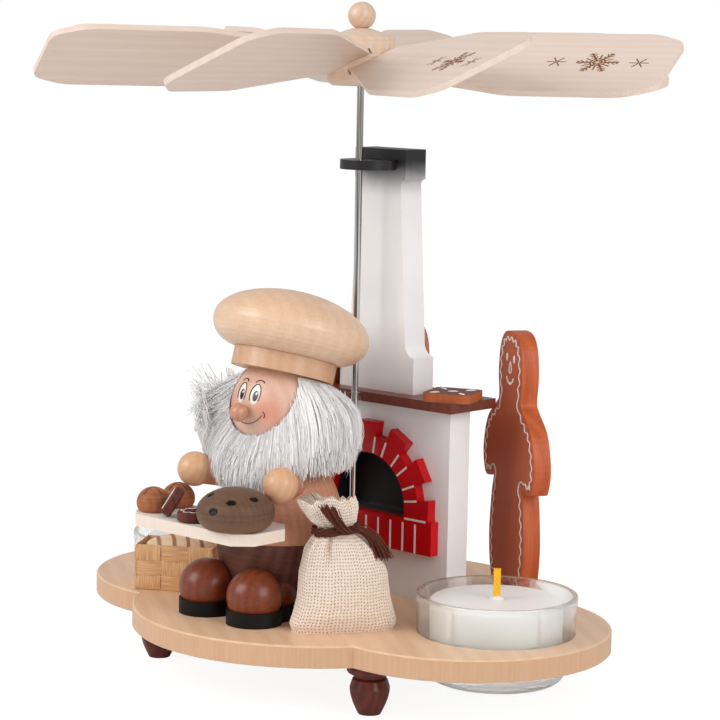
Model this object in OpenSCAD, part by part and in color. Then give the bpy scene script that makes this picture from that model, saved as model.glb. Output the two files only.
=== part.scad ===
// Christmas pyramid with a baker gnome in front of a brick oven.
// Two candles in glass cups drive a rotor of eight slanted blades on a steel shaft.
// Millimetres, +Z up. The origin is on the shaft's axis, at the level the feet stand on.
// The gnome faces -Y, and the candles stand on the X axis.

/* [Base plate] */
// Thickness of the plate
plate_t = 9.5; // [7:0.5:13]
// Radius of the two lobes that carry the candles
candle_lobe_r = 63; // [61:0.5:66]
// Distance of the candle lobes' centres from the middle of the plate
candle_lobe_x = 69.5; // [67:0.5:72]
// Radius of the front and back lobes
scene_lobe_r = 78; // [76:0.5:82]
// Distance of the front and back lobes' centres from the middle of the plate
scene_lobe_y = 20; // [18:0.5:24]
// How far the shaft stands behind the middle of the plate
shaft_setback = 5; // [3:0.5:6]
// Chamfer on the plate's edges
plate_chamfer = 0.7; // [0.3:0.1:1.5]

/* [Feet] */
// Height of the feet
foot_h = 21; // [19:0.5:26]
// Distance of the feet from the plate's middle line, along X
foot_x = 64; // [58:0.5:66]
// Distance of the feet from the plate's middle line, along Y
foot_y = 51; // [48:0.5:56]
// Diameter of the foot's top disc
foot_disc_d = 19.5; // [17:0.5:22]
// Diameter of the foot's belly
foot_belly_d = 16.6; // [14:0.2:18]
// Diameter of the foot where it stands
foot_sole_d = 9.4; // [8:0.2:12]
// Diameter of the tenon that is glued into the plate
foot_tenon_d = 7; // [5:0.5:9]
// Length of that tenon
foot_tenon_h = 6; // [4:0.5:6.5]

/* [Shaft] */
// Diameter of the steel shaft
shaft_d = 3; // [2.4:0.1:4]
// Radial running clearance of the shaft in the bracket
shaft_clear = 0.08; // [0.04:0.01:0.1]
// Diameter of the pivot cup's flange
cup_d = 11; // [9:0.5:13]
// Height of the flange above the plate
cup_h = 1.6; // [1:0.1:2.5]
// Depth of the cup's stem in the plate
cup_stem_h = 6; // [4:0.5:6.5]
// Gap between the shaft's tip and its seat
pivot_gap = 0.1; // [0.05:0.05:0.3]

/* [Rotor] */
// Height of the hub's lower face above the plate
hub_z = 224; // [214:1:236]
// Diameter of the hub
hub_d = 29; // [27:0.5:33]
// Height of the hub up to its cone
hub_h = 21; // [20:0.5:25]
// Height of the cone on the hub
hub_cone_h = 3.6; // [2:0.2:6]
// Rounding of the hub's lower edge
hub_round = 3; // [1:0.5:4]
// Diameter of the ball finial
finial_d = 12; // [9:0.5:14]
// Radius to the blades' tips
blade_r = 140; // [132:1:144]
// Radius at which a blade reaches its full width
blade_shoulder_r = 76; // [60:1:90]
// Full width of a blade
blade_w = 54; // [44:1:58]
// Width of a blade where it enters the hub
blade_root_w = 19; // [14:0.5:20]
// Thickness of a blade
blade_t = 2.4; // [2:0.1:3.4]
// Slant of the blades
blade_pitch = 26; // [22:1:36]
// Angle at which a blade rises towards its tip
blade_rise = 0.5; // [0:0.25:2]
// Length of the cut corners, along the blade
blade_corner_r = 14; // [8:0.5:16]
// Length of the cut corners, across the blade
blade_corner_w = 7; // [6:0.5:11]
// Length that the rounding of a blade's corners takes
blade_round = 5; // [3:0.5:6]
// Direction of the first of the eight blades
blade_phase = 18; // [0:0.5:45]
// Depth of the slots in the hub's side
slot_depth = 4.5; // [3:0.25:5]
// Clearance of a blade in its slot, each side
slot_clear = 0.05; // [0.02:0.01:0.1]

/* [Candles] */
// Distance of the candles from the shaft
candle_x = 88; // [86:0.5:92]
// Outer radius of the glass cup at its rim
glass_rim_r = 34; // [33.5:0.1:36]
// Outer radius of the glass cup at the plate's top
glass_deck_r = 33; // [32:0.1:33.5]
// Outer radius of the glass cup at the plate's underside
glass_under_r = 30.2; // [29.6:0.1:31]
// Radius of the glass cup's flat bottom
glass_foot_r = 24; // [22:0.5:26]
// Height of the rim above the plate
glass_rise = 16.5; // [14:0.5:20]
// How far the glass cup hangs below the plate
glass_drop = 11; // [6:0.5:12]
// Wall of the glass cup
glass_wall = 2.3; // [1.8:0.1:2.5]
// Thickness of its floor
glass_floor = 5.7; // [2:0.1:6]
// Gap between the glass cup and the cone of its hole
glass_gap = 0.3; // [0.2:0.05:0.5]
// Radius of the tea light
wax_r = 28; // [27:0.1:28.3]
// Height of the tea light
wax_h = 21; // [18:0.5:22]
// Gap under the tea light on its ledge
wax_gap = 0.2; // [0.1:0.05:0.4]
// Width of the flat wick
wick_w = 3; // [2:0.2:4]
// Height of the wick above the wax
wick_h = 13; // [8:0.5:16]

/* [Oven] */
// Thickness of the boards for oven and chimney
board_t = 13; // [11:0.5:15]
// Distance of the oven's front from the shaft's axis
oven_y = 13.5; // [12:0.5:14]
// Width of the oven
oven_w = 88; // [82:1:92]
// Height of the oven
oven_h = 86; // [82:1:92]
// Radius of the oven's mouth
mouth_r = 22.4; // [20:0.2:23]
// Height of the mouth's floor above the plate
mouth_z = 36.3; // [34:0.5:40]
// Height of the straight sides under the mouth's arch
mouth_rise = 4; // [2:0.5:6]
// Depth of the firebox in the board
firebox_depth = 10; // [7:0.5:10.5]
// Wall of the black lining
firebox_wall = 1; // [0.6:0.1:1.5]
// Clearance of the lining in the board
firebox_clear = 0.05; // [0.02:0.01:0.1]

/* [Brick surround] */
// Thickness of the bricks
brick_t = 4.7; // [3:0.1:5]
// Outer radius of the long bricks
brick_long_r = 36.5; // [34:0.5:39]
// Outer radius of the short bricks between them
brick_short_r = 30.5; // [27:0.5:33]
// Angle that a long brick takes
brick_long_angle = 17; // [14:0.5:20]
// Width of the row of bricks under the mouth
sill_w = 77; // [74:0.5:80]
// Height of that row
sill_h = 14.8; // [12:0.2:17]
// Spacing of the upright joints in the row
sill_pitch = 7.3; // [6:0.1:9]
// Width of a joint line
joint_w = 0.9; // [0.6:0.1:1.4]
// Thickness of the joint lines' paint
joint_t = 0.2; // [0.15:0.05:0.4]

/* [Mantel and chimney] */
// Width of the mantel shelf
mantel_w = 102.5; // [95:0.5:106]
// Depth of the mantel shelf
mantel_d = 30; // [26:0.5:32]
// Thickness of the mantel shelf
mantel_t = 4.2; // [3:0.1:6]
// Height of the chimney above the mantel
chimney_h = 106.5; // [100:0.5:112]
// Width of the chimney's foot block
chimney_foot_w = 44; // [40:0.5:48]
// Height of the chimney's foot block
chimney_foot_h = 16; // [12:0.5:20]
// Width of the chimney's shaft at its lower end
chimney_low_w = 33.5; // [30:0.5:36]
// Width of the chimney's shaft at its upper end
chimney_top_w = 25; // [25:0.5:28]
// Width of the chimney's cap
chimney_cap_w = 30; // [29:0.5:34]
// Height of the chimney's cap
chimney_cap_h = 13; // [12:0.5:16]
// Diameter of the round guide bracket
bracket_d = 24.6; // [22:0.2:26]
// Thickness of the guide bracket
bracket_t = 4.1; // [3:0.1:5]
// How far the bracket's centre lies behind the shaft
bracket_back = 5.7; // [5:0.1:7]
// Distance of the bracket's top below the chimney's top
bracket_drop = 4.6; // [3.5:0.1:6]
// Clearance of the bracket in its slot
bracket_clear = 0.05; // [0.02:0.01:0.1]

/* [Honey cakes and gingerbread men] */
// Side of a honey cake
cake_w = 21.5; // [20:0.5:26]
// Thickness of a honey cake
cake_t = 3.7; // [3:0.1:5]
// Height of a gingerbread man
man_h = 118; // [108:1:124]
// Width of a gingerbread man across the arms
man_w = 68; // [60:1:72]
// Thickness of a gingerbread man
man_t = 7.7; // [6.5:0.1:9]

/* [Gnome] */
// Place of the gnome's axis, along X
gnome_x = -4.5; // [-8:0.5:-3]
// Distance of the gnome's axis in front of the shaft
gnome_front = 41; // [40.5:0.5:43]
// Height of the jacket's hem above the plate
hem_z = 32.5; // [29:0.5:34]
// Radius of the jacket's hem
hem_r = 28.5; // [27:0.5:30]
// Radius of the trousers where they meet the plate
trouser_r = 19; // [17:0.5:20]
// Height of the jacket's top above the plate
jacket_top_z = 66; // [64:0.5:66.5]
// Radius of the head
head_r = 21.5; // [20.5:0.5:22]
// Height of the head's centre above the plate
head_z = 87.5; // [87:0.5:89]
// Diameter of the ball nose
nose_d = 7.8; // [6:0.2:9]
// Radius of the cap's band
band_r = 22.3; // [21.8:0.1:24]
// Height of the cap's band
band_h = 8; // [7:0.5:10]
// Height of the band's lower edge above the plate, on the gnome's axis
band_z = 101.5; // [100:0.5:104]
// Radius of the puffed cap
cap_r = 34; // [31:0.5:35]
// Height of the puffed cap
cap_h = 28; // [24:0.5:30]
// How far the cap leans back
cap_tilt = 16; // [8:1:18]
// Largest radius of the fur
fur_r = 36.5; // [34:0.5:37]
// Radius of the fur at its lower end
fur_low_r = 25.5; // [23:0.5:27]
// Height of the fur's lower end above the plate
fur_low_z = 50; // [47:0.5:54]
// Half the distance between the hands
hand_x = 26; // [24:0.5:27]
// Distance of the hands in front of the gnome's axis
hand_front = 26; // [24:0.5:28]
// Height of the hands above the plate
hand_z = 60; // [57:0.5:62]
// Diameter of a hand
hand_d = 15; // [13:0.5:17]
// Half the distance between the shoes
shoe_x = 14.5; // [13.5:0.5:17]
// Distance of the toes' centres in front of the gnome's axis
shoe_front = 29; // [27.5:0.5:31]
// Radius of the round toe
toe_r = 11.9; // [10.5:0.1:13]
// Thickness of the sole
sole_t = 6.3; // [4:0.1:8]
// Gap between pieces that stand beside each other
stand_gap = 0.3; // [0.2:0.05:0.5]

/* [Tray] */
// Width of the tray
tray_w = 72; // [64:1:74]
// Depth of the tray
tray_d = 31.5; // [30:0.5:36]
// Thickness of the tray
tray_t = 5; // [3:0.2:6]
// Height of the tray's top above the plate
tray_z = 43; // [41:0.5:44]
// Shift of the tray to the gnome's right hand
tray_shift = 3.5; // [0:0.5:5]
// Distance of the tray's front edge in front of the gnome's axis
tray_front = 54; // [53:0.5:57]
// Cut corners of the tray
tray_corner = 7; // [4:0.5:9]
// Radius of the loaf
loaf_r = 16.3; // [14:0.1:16.5]
// Height of the loaf
loaf_h = 17.5; // [14:0.5:20]
// Diameter of a small roll
roll_d = 14.4; // [12:0.2:15]
// Height of a small roll
roll_h = 10.5; // [8:0.5:12]
// Outer diameter of an iced ring
ring_d = 13.4; // [12:0.2:15]
// Diameter of the ring's hole
ring_hole_d = 5; // [4:0.2:6]
// Thickness of an iced ring
ring_t = 4.5; // [3.5:0.1:5]

/* [Basket and sack] */
// Width of the basket
basket_w = 36; // [32:0.5:40]
// Depth of the basket
basket_d = 22; // [20:0.5:24]
// Height of the basket
basket_h = 20; // [17:0.5:22]
// Thickness of its splint wall
basket_wall = 1.2; // [0.8:0.1:1.6]
// Direction of the basket's long side
basket_turn = 33; // [25:1:40]
// Width of the sack
sack_w = 46; // [42:0.5:48]
// Depth of the sack
sack_d = 21; // [18:0.5:22]
// Height of the sack
sack_h = 57; // [54:0.5:60]
// Height of the sack's tie
sack_tie_z = 43; // [40:0.5:46]
// Thickness of the tie's yarn
sack_tie_d = 3.4; // [2.6:0.1:4]
// Direction of the sack's wide side
sack_turn = 58; // [52:1:64]

/* [Hidden] */
$fn = 64;

// Levels and places that follow from the sizes above
deck = foot_h + plate_t;
plate_y = -shaft_setback;
board_mid_y = oven_y + board_t / 2;
mantel_z = deck + oven_h;
chimney_z = mantel_z + mantel_t;
bracket_z = chimney_z + chimney_h - bracket_drop - bracket_t;
gnome_y = -gnome_front;
brick_arc_z = deck + mouth_z + mouth_rise;
tray_mid_x = gnome_x - tray_shift;
tray_front_y = gnome_y - tray_front;
tray_top = deck + tray_z;
eps = 0.01;

// Colours
pale_wood = "#e6c69c";
maple = "#f0dcbf";
dark_stain = "#4a2418";
oven_white = "#f2f0ee";
brick_red = "#b8101c";
gingerbread = "#a8481f";
black_paint = "#16161a";
fur_white = "#f4f2f0";
jacket_brown = "#8a5632";
trouser_brown = "#5a3a38";
shoe_brown = "#5c2f1c";
crust_brown = "#6b5546";
chocolate = "#4e2a20";
burlap = "#e8dcc6";
steel = "#b9bcc0";

// A turned piece: an outline of [radius, height] points spun round Z
module turned(outline) {
    rotate_extrude() polygon(outline);
}

// Points of an arc from one angle to another
function arc(cx, cy, r, from, to, steps = 10) =
    [for (i = [0:steps]) let (a = from + (to - from) * i / steps) [cx + r * cos(a), cy + r * sin(a)]];

// Points of an arc with its own radius on each axis
function oval_arc(cx, cy, rx, ry, from, to, steps = 12) =
    [for (i = [0:steps]) let (a = from + (to - from) * i / steps) [cx + rx * cos(a), cy + ry * sin(a)]];

// A smooth closed curve through the given points
function blend_point(a, b, c, d, t) =
    0.5 * (2 * b + (c - a) * t + (2 * a - 5 * b + 4 * c - d) * t * t + (3 * b - a - 3 * c + d) * t * t * t);
function smooth_outline(points, steps = 5) =
    let (n = len(points))
    [for (i = [0:n - 1], j = [0:steps - 1])
        blend_point(points[(i + n - 1) % n], points[i], points[(i + 1) % n], points[(i + 2) % n], j / steps)];

// Moves its children to the gnome's axis at the plate's top
module at_gnome() {
    translate([gnome_x, gnome_y, deck]) children();
}

// Base

module lobe(r) {
    turned([[0, 0], [r - plate_chamfer, 0], [r, plate_chamfer], [r, plate_t - plate_chamfer],
            [r - plate_chamfer, plate_t], [0, plate_t]]);
}

module base_plate() {
    color(pale_wood)
    difference() {
        translate([0, plate_y, foot_h]) {
            for (side = [-1, 1]) {
                translate([side * candle_lobe_x, 0, 0]) lobe(candle_lobe_r);
                translate([0, side * scene_lobe_y, 0]) lobe(scene_lobe_r);
            }
        }
        for (side = [-1, 1])
            translate([side * candle_x, plate_y, foot_h - eps])
                cylinder(r1 = glass_under_r + glass_gap, r2 = glass_deck_r + glass_gap,
                         h = plate_t + 2 * eps);
        at_feet() translate([0, 0, foot_h - eps]) cylinder(d = foot_tenon_d, h = foot_tenon_h + eps);
        translate([0, 0, deck - cup_stem_h]) cylinder(d = cup_d / 2, h = cup_stem_h + eps);
    }
}

module at_feet() {
    for (sx = [-1, 1], sy = [-1, 1])
        translate([sx * foot_x, plate_y + sy * foot_y, 0]) children();
}

foot_disc_h = 4.2;
foot_groove = 2;
foot_groove_h = 1.2;
module feet() {
    disc_z = foot_h - foot_disc_h;
    disc_r = foot_disc_d / 2;
    groove_r = foot_belly_d / 2 - foot_groove;
    groove_z = disc_z - foot_groove_h;
    tenon_r = foot_tenon_d / 2;
    color(dark_stain)
    at_feet()
    turned(concat(
        [[0, 0], [foot_sole_d / 2, 0]],
        [for (i = [1:9]) let (t = i / 9)
            [foot_sole_d / 2 + (foot_belly_d - foot_sole_d) / 2 * sin(90 * t), groove_z * 0.72 * t]],
        [[groove_r + foot_groove / 2, groove_z - foot_groove / 2], [groove_r, groove_z], [groove_r, disc_z]],
        arc(disc_r - foot_disc_h / 2, foot_h - foot_disc_h / 2, foot_disc_h / 2, -90, 90, 8),
        [[tenon_r, foot_h], [tenon_r, foot_h + foot_tenon_h], [0, foot_h + foot_tenon_h]]));
}

cup_seat_r = shaft_d / 2 + 1;
cup_edge = 0.6;
module pivot_cup() {
    stem_r = cup_d / 4;
    color("#c9a24c")
    translate([0, 0, deck])
    turned([[0, -cup_stem_h], [stem_r, -cup_stem_h], [stem_r, 0], [cup_d / 2, 0],
            [cup_d / 2, cup_h - cup_edge], [cup_d / 2 - cup_edge, cup_h], [cup_seat_r, cup_h],
            [0, cup_h - cup_seat_r]]);
}

// Oven

// The mouth in the oven's front plane, grown by a margin: a flat floor under a round arch
module mouth(grow) {
    r = mouth_r + grow;
    floor_z = deck + mouth_z - grow;
    polygon(concat([[-r, floor_z], [r, floor_z]], arc(0, brick_arc_z, r, 0, 180, 40)));
}

// Stands a drawing in the XZ plane up with its front at y and its thickness behind it
module board(y, t) {
    translate([0, y + t, 0]) rotate([90, 0, 0]) linear_extrude(t) children();
}

module oven_body() {
    color(oven_white)
    difference() {
        translate([-oven_w / 2, oven_y, deck]) cube([oven_w, board_t, oven_h]);
        board(oven_y - eps, firebox_depth + eps) mouth(firebox_wall + firebox_clear);
    }
}

module firebox() {
    color(black_paint)
    difference() {
        board(oven_y, firebox_depth - firebox_clear) mouth(firebox_wall);
        board(oven_y - eps, firebox_depth - firebox_clear - firebox_wall) mouth(0);
    }
}

// Angle from one long brick to the next
brick_angle = 30;

// Outer outline of the bricks: the row under the mouth, then long and short bricks round the arch
function brick_corner(angle, side) =
    let (half = brick_long_angle / 2, reach = brick_long_r / cos(half))
    reach * [cos(angle + side * half), sin(angle + side * half)];
function brick_outline() =
    let (half = brick_long_angle / 2, x = sill_w / 2, floor_z = -mouth_rise)
    concat(
        [[-x, floor_z - sill_h], [x, floor_z - sill_h], [x, floor_z], [brick_long_r, floor_z]],
        [for (a = [0:brick_angle:180 - brick_angle]) each concat(
            [brick_corner(a, 1)],
            arc(0, 0, brick_short_r, a + half, a + brick_angle - half, 4),
            [brick_corner(a + brick_angle, -1)])],
        [[-brick_long_r, floor_z], [-x, floor_z]]);

module brick_surround() {
    color(brick_red)
    board(oven_y - brick_t, brick_t)
    difference() {
        translate([0, brick_arc_z]) polygon(brick_outline());
        mouth(0);
    }
}

module brick_joints() {
    line_n = floor((sill_w / 2 - sill_pitch / 2) / sill_pitch);
    color(oven_white)
    board(oven_y - brick_t - joint_t, joint_t) {
        for (i = [-line_n:line_n])
            translate([i * sill_pitch - joint_w / 2, deck + mouth_z - sill_h])
                square([joint_w, sill_h - 2 * joint_w]);
        for (side = [0, 1])
            mirror([side, 0]) translate([mouth_r + joint_w / 2, deck + mouth_z - joint_w / 2])
                square([brick_long_r - mouth_r - 2 * joint_w, joint_w]);
        translate([0, brick_arc_z])
            for (a = [0:brick_angle:180], side = [-1, 1])
                if (a + side * brick_long_angle / 2 > 0 && a + side * brick_long_angle / 2 < 180)
                    rotate(a + side * brick_long_angle / 2) translate([mouth_r + joint_w / 2, -joint_w / 2])
                        square([brick_short_r - mouth_r - joint_w, joint_w]);
    }
}

module mantel_shelf() {
    color(dark_stain)
    translate([-mantel_w / 2, board_mid_y - mantel_d / 2, mantel_z]) cube([mantel_w, mantel_d, mantel_t]);
}

// Half outline of the chimney, from its foot up, in [half width, height] above the mantel
chimney_flare = 6;
chimney_half = concat(
    [[chimney_foot_w / 2, 0], [chimney_foot_w / 2, chimney_foot_h]],
    [for (i = [0:8]) let (a = 90 * i / 8)
        [chimney_low_w / 2 + (chimney_foot_w - chimney_low_w) / 2 * (1 - sin(a)),
         chimney_foot_h + chimney_flare * (1 - cos(a))]],
    [for (i = [0:6]) let (a = 90 * i / 6, top = chimney_h - chimney_cap_h)
        [chimney_top_w / 2 + (chimney_cap_w - chimney_top_w) / 2 * (1 - cos(a)),
         top - (chimney_cap_w - chimney_top_w) / 2 * (1 - sin(a))]],
    [[chimney_cap_w / 2, chimney_h]]);

module chimney() {
    last = len(chimney_half) - 1;
    other_half = [for (i = [last:-1:0]) [-chimney_half[i].x, chimney_half[i].y]];
    color(oven_white)
    difference() {
        translate([0, 0, chimney_z]) board(oven_y, board_t) polygon(concat(chimney_half, other_half));
        translate([0, bracket_back, bracket_z - bracket_clear])
            cylinder(d = bracket_d + 2 * bracket_clear, h = bracket_t + 2 * bracket_clear);
    }
}

module guide_bracket() {
    color(black_paint)
    difference() {
        translate([0, bracket_back, bracket_z]) cylinder(d = bracket_d, h = bracket_t);
        translate([0, 0, bracket_z - eps]) cylinder(r = shaft_d / 2 + shaft_clear, h = bracket_t + 2 * eps);
    }
}

// Honey cakes and gingerbread men

cake_corner = 3;
module honey_cake() {
    half = cake_w / 2 - cake_corner;
    linear_extrude(cake_t)
        polygon(concat(arc(half, half, cake_corner, 0, 90, 5), arc(-half, half, cake_corner, 90, 180, 5),
                       arc(-half, -half, cake_corner, 180, 270, 5),
                       arc(half, -half, cake_corner, 270, 360, 5)));
}

cake_right_x = 42;
cake_right_y = 17;
cake_turn = 22;
module honey_cake_right() {
    color(gingerbread)
    translate([cake_right_x, cake_right_y, chimney_z]) rotate(cake_turn) honey_cake();
}

// The left cake stands on the mantel and leans against the upper edge of the chimney's foot block
cake_lean_angle = 12;
module honey_cake_left() {
    lower_edge_x = -chimney_foot_w / 2 - stand_gap - chimney_foot_h * tan(cake_lean_angle);
    color(gingerbread)
    translate([lower_edge_x, board_mid_y, chimney_z])
        rotate([0, cake_lean_angle - 90, 0]) translate([cake_w / 2, 0, 0]) honey_cake();
}

// Half outline of a gingerbread man as shares of half the width and of the height, from the feet up
man_half = [[0.32, 0], [0.58, 0.06], [0.68, 0.2], [0.62, 0.36], [0.55, 0.435], [0.68, 0.425], [0.9, 0.43],
            [1, 0.52], [0.86, 0.64], [0.54, 0.71], [0.42, 0.745], [0.46, 0.84], [0.4, 0.94], [0.2, 0.995]];
module gingerbread_man() {
    half = [for (p = man_half) [p.x * man_w / 2, p.y * man_h]];
    outline = concat(half, [for (i = [len(half) - 1:-1:0]) [-half[i].x, half[i].y]]);
    translate([0, man_t / 2, 0]) rotate([90, 0, 0]) linear_extrude(man_t)
        intersection() {
            polygon(smooth_outline(outline));
            translate([-man_w, 0]) square(2 * man_h);
        }
}

man_turn = 31;
man_right_x = 49.3;
man_right_y = 52.5;
module gingerbread_man_right() {
    color(gingerbread)
    translate([man_right_x, man_right_y, deck]) rotate(-man_turn) gingerbread_man();
}

man_back_x = -30;
man_back_y = 58.5;
module gingerbread_man_back() {
    color(gingerbread)
    translate([man_back_x, man_back_y, deck]) rotate(180 + man_turn) gingerbread_man();
}

// Gnome

// The trousers' outline, grown by a margin on its outside
hem_overhang = 1.2;
function trouser_outline(grow) = concat(
    [[0, -grow], [trouser_r + grow, -grow]],
    [for (i = [1:8]) let (t = i / 8)
        [trouser_r + grow + (hem_r - hem_overhang - trouser_r) * sin(90 * t), hem_z * t]],
    [[0, hem_z]]);

module trousers() {
    color(trouser_brown)
    at_gnome() turned(trouser_outline(0));
}

// The jacket's outline, grown by a margin on its outside
shoulder_r = 14;
neck_r = 7;
hem_t = 2;
head_flat = 1.2;
head_seat_z = head_z - head_r + head_flat;
function jacket_outline(grow) = concat(
    [[0, hem_z - grow], [hem_r + grow, hem_z - grow]],
    [for (i = [0:12]) let (t = i / 12)
        [shoulder_r + grow + (hem_r - shoulder_r) * pow(cos(90 * t), 0.75),
         hem_z + hem_t + (jacket_top_z - hem_z - hem_t) * sin(90 * t) * (0.35 + 0.65 * t) + grow * t]],
    [[neck_r + grow, jacket_top_z + grow], [neck_r + grow, head_seat_z], [0, head_seat_z]]);

module jacket() {
    color(jacket_brown)
    at_gnome() turned(jacket_outline(0));
}

function hand_centre(side) = [side * hand_x, -hand_front, hand_z];
function shoulder_point(side) = [side * shoulder_r * 0.9, -4, hand_z - 3];
cuff_r = 6;
upper_sleeve_r = 7;
module sleeve(side) {
    reach = hand_centre(side) - shoulder_point(side);
    color(jacket_brown)
    at_gnome()
    difference() {
        translate(shoulder_point(side))
            rotate([0, acos(reach.z / norm(reach)), atan2(reach.y, reach.x)])
                cylinder(r1 = upper_sleeve_r, r2 = cuff_r, h = norm(reach));
        turned(jacket_outline(0));
        translate(hand_centre(side)) sphere(d = hand_d);
    }
}
module sleeve_left() { sleeve(1); }
module sleeve_right() { sleeve(-1); }

module hand(side) {
    color(maple)
    at_gnome() translate(hand_centre(side)) sphere(d = hand_d);
}
module hand_left() { hand(1); }
module hand_right() { hand(-1); }

// The tilted frame of the cap, with its origin at the middle of the band's lower edge
module at_cap() {
    at_gnome() translate([0, 0, band_z]) rotate([-cap_tilt, 0, 0]) children();
}

module head() {
    color(maple)
    difference() {
        at_gnome() translate([0, 0, head_z]) sphere(r = head_r);
        at_gnome() translate([0, 0, head_seat_z - head_r]) cylinder(r = head_r, h = head_r);
        at_cap() cylinder(r = 2 * head_r, h = 2 * head_r);
        nose_peg();
    }
}

// The nose is a ball on a short peg, glued into a hole in the face
nose_peg_d = 3;
nose_peg_h = 4;
module nose_peg() {
    at_gnome() translate([0, nose_peg_h - head_r, head_z]) rotate([90, 0, 0])
        cylinder(d = nose_peg_d, h = nose_peg_h + nose_d / 2);
}

module nose() {
    color("#c99670") {
        at_gnome() translate([0, -head_r - nose_d / 2, head_z]) sphere(d = nose_d);
        nose_peg();
    }
}

// The fur ring round head and shoulders, before it is parted into beard and hair
// The opening for the face is a cone that looks upwards a little
face_r = 4;
face_flare = 45;
face_rise = 1;
face_lift = 20;
fur_top_z = 102;
fur_wide_z = 84;
fur_wide_angle = 12;
fur_top_angle = 80;
module fur() {
    difference() {
        at_gnome() turned(concat(
            [[0, fur_low_z]],
            [for (i = [8:-1:0]) let (t = i / 8)
                [fur_r - (fur_r - fur_low_r) * pow(t, 1.5), fur_wide_z - (fur_wide_z - fur_low_z) * t]],
            oval_arc(band_r, fur_wide_z, fur_r - band_r, fur_top_z - fur_wide_z,
                     fur_wide_angle, fur_top_angle, 6),
            [[0, fur_top_z]]));
        at_gnome() translate([0, 0, head_z]) sphere(r = head_r + stand_gap);
        at_gnome() turned(jacket_outline(stand_gap));
        at_cap() translate([0, 0, -stand_gap]) cylinder(r = 2 * fur_r, h = 2 * fur_r);
        for (side = [-1, 1]) {
            at_gnome() translate(hand_centre(side)) sphere(d = hand_d + 2 * stand_gap);
            at_gnome() hull() {
                translate(hand_centre(side)) sphere(r = cuff_r + stand_gap, $fn = 32);
                translate(shoulder_point(side)) sphere(r = upper_sleeve_r + stand_gap, $fn = 32);
            }
        }
        at_gnome() translate([0, 0, head_z + face_rise]) rotate([90 - face_lift, 0, 0])
            cylinder(r1 = face_r, r2 = face_r + 2 * fur_r * tan(face_flare), h = 2 * fur_r);
    }
}

// The half of space in front of the gnome's axis, or behind it
module gnome_half(front) {
    at_gnome() translate([-2 * fur_r, front ? -4 * fur_r : 0, 0]) cube([4 * fur_r, 4 * fur_r, 2 * head_z]);
}

module beard() {
    color(fur_white)
    intersection() {
        fur();
        gnome_half(true);
    }
}

module hair() {
    color(fur_white)
    intersection() {
        fur();
        gnome_half(false);
    }
}

module cap_band() {
    color(maple) at_cap() cylinder(r = band_r, h = band_h);
}

module cap_top() {
    low = cap_h * 0.4;
    color(pale_wood)
    at_cap() translate([0, 0, band_h])
        turned(concat([[0, 0]], oval_arc(cap_r * 0.62, low, cap_r * 0.38, low, -90, 0, 8),
                      oval_arc(0, low, cap_r, cap_h - low, 6, 90, 14)));
}

heel_r = 8;
heel_back = 15;
heel_drop = 1;
function toe_centre(side) = [side * shoe_x, -shoe_front, sole_t + toe_r * 0.42];
module shoe(side) {
    color(shoe_brown)
    at_gnome()
    difference() {
        union() {
            translate(toe_centre(side)) sphere(r = toe_r);
            translate(toe_centre(side) + [0, heel_back, -heel_drop]) sphere(r = heel_r);
        }
        translate([side * shoe_x, -shoe_front, sole_t - 2 * toe_r]) cylinder(r = 3 * toe_r, h = 2 * toe_r);
        turned(trouser_outline(stand_gap));
    }
}
module shoe_left() { shoe(1); }
module shoe_right() { shoe(-1); }

module sole(side) {
    color(black_paint)
    at_gnome()
    difference() {
        union() {
            translate([side * shoe_x, -shoe_front, 0]) cylinder(r = toe_r, h = sole_t);
            translate([side * shoe_x, -shoe_front + heel_back, 0]) cylinder(r = heel_r, h = sole_t);
            translate([side * shoe_x - heel_r, -shoe_front, 0]) cube([2 * heel_r, heel_back, sole_t]);
        }
        turned(trouser_outline(stand_gap));
    }
}
module sole_left() { sole(1); }
module sole_right() { sole(-1); }

// Tray and what lies on it

tray_clear = 0.05;
module tray() {
    c = tray_corner;
    w = tray_w / 2;
    color(maple)
    difference() {
        translate([tray_mid_x, tray_front_y, tray_top - tray_t])
            linear_extrude(tray_t)
                polygon([[c - w, 0], [w - c, 0], [w, c], [w, tray_d - c], [w - c, tray_d], [c - w, tray_d],
                         [-w, tray_d - c], [-w, c]]);
        at_gnome() turned(jacket_outline(tray_clear));
    }
}

// Room between the pieces on the tray
tray_room = 0.7;
// The loaf lies to one side, clear of the fur in front of which it stands
loaf_side = 19;
loaf_fur_gap = 7;
loaf_reach = sqrt(pow(fur_low_r + loaf_r + loaf_fur_gap, 2) - loaf_side * loaf_side);
loaf_pos = [gnome_x + loaf_side, gnome_y - loaf_reach];
module loaf() {
    low = loaf_h * 0.42;
    color(crust_brown)
    translate([loaf_pos.x, loaf_pos.y, tray_top])
        turned(concat([[0, 0]], oval_arc(loaf_r * 0.6, low, loaf_r * 0.4, low, -90, 0, 8),
                      oval_arc(0, low, loaf_r, loaf_h - low, 5, 90, 14)));
}

module roll_at(pos) {
    low = roll_h * 0.35;
    color("#8a5030")
    translate([pos.x, pos.y, tray_top])
        turned(concat([[0, 0]], oval_arc(roll_d * 0.36, low, roll_d * 0.14, low, -90, 0, 6),
                      oval_arc(0, low, roll_d / 2, roll_h - low, 5, 90, 12)));
}

roll_inset = 10;
roll_front_pos = [tray_mid_x - tray_w / 2 + roll_d / 2, tray_front_y + roll_inset];
roll_back_pos = roll_front_pos + [-tray_room, roll_d + tray_room];
module roll_front() { roll_at(roll_front_pos); }
module roll_back() { roll_at(roll_back_pos); }

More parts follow.
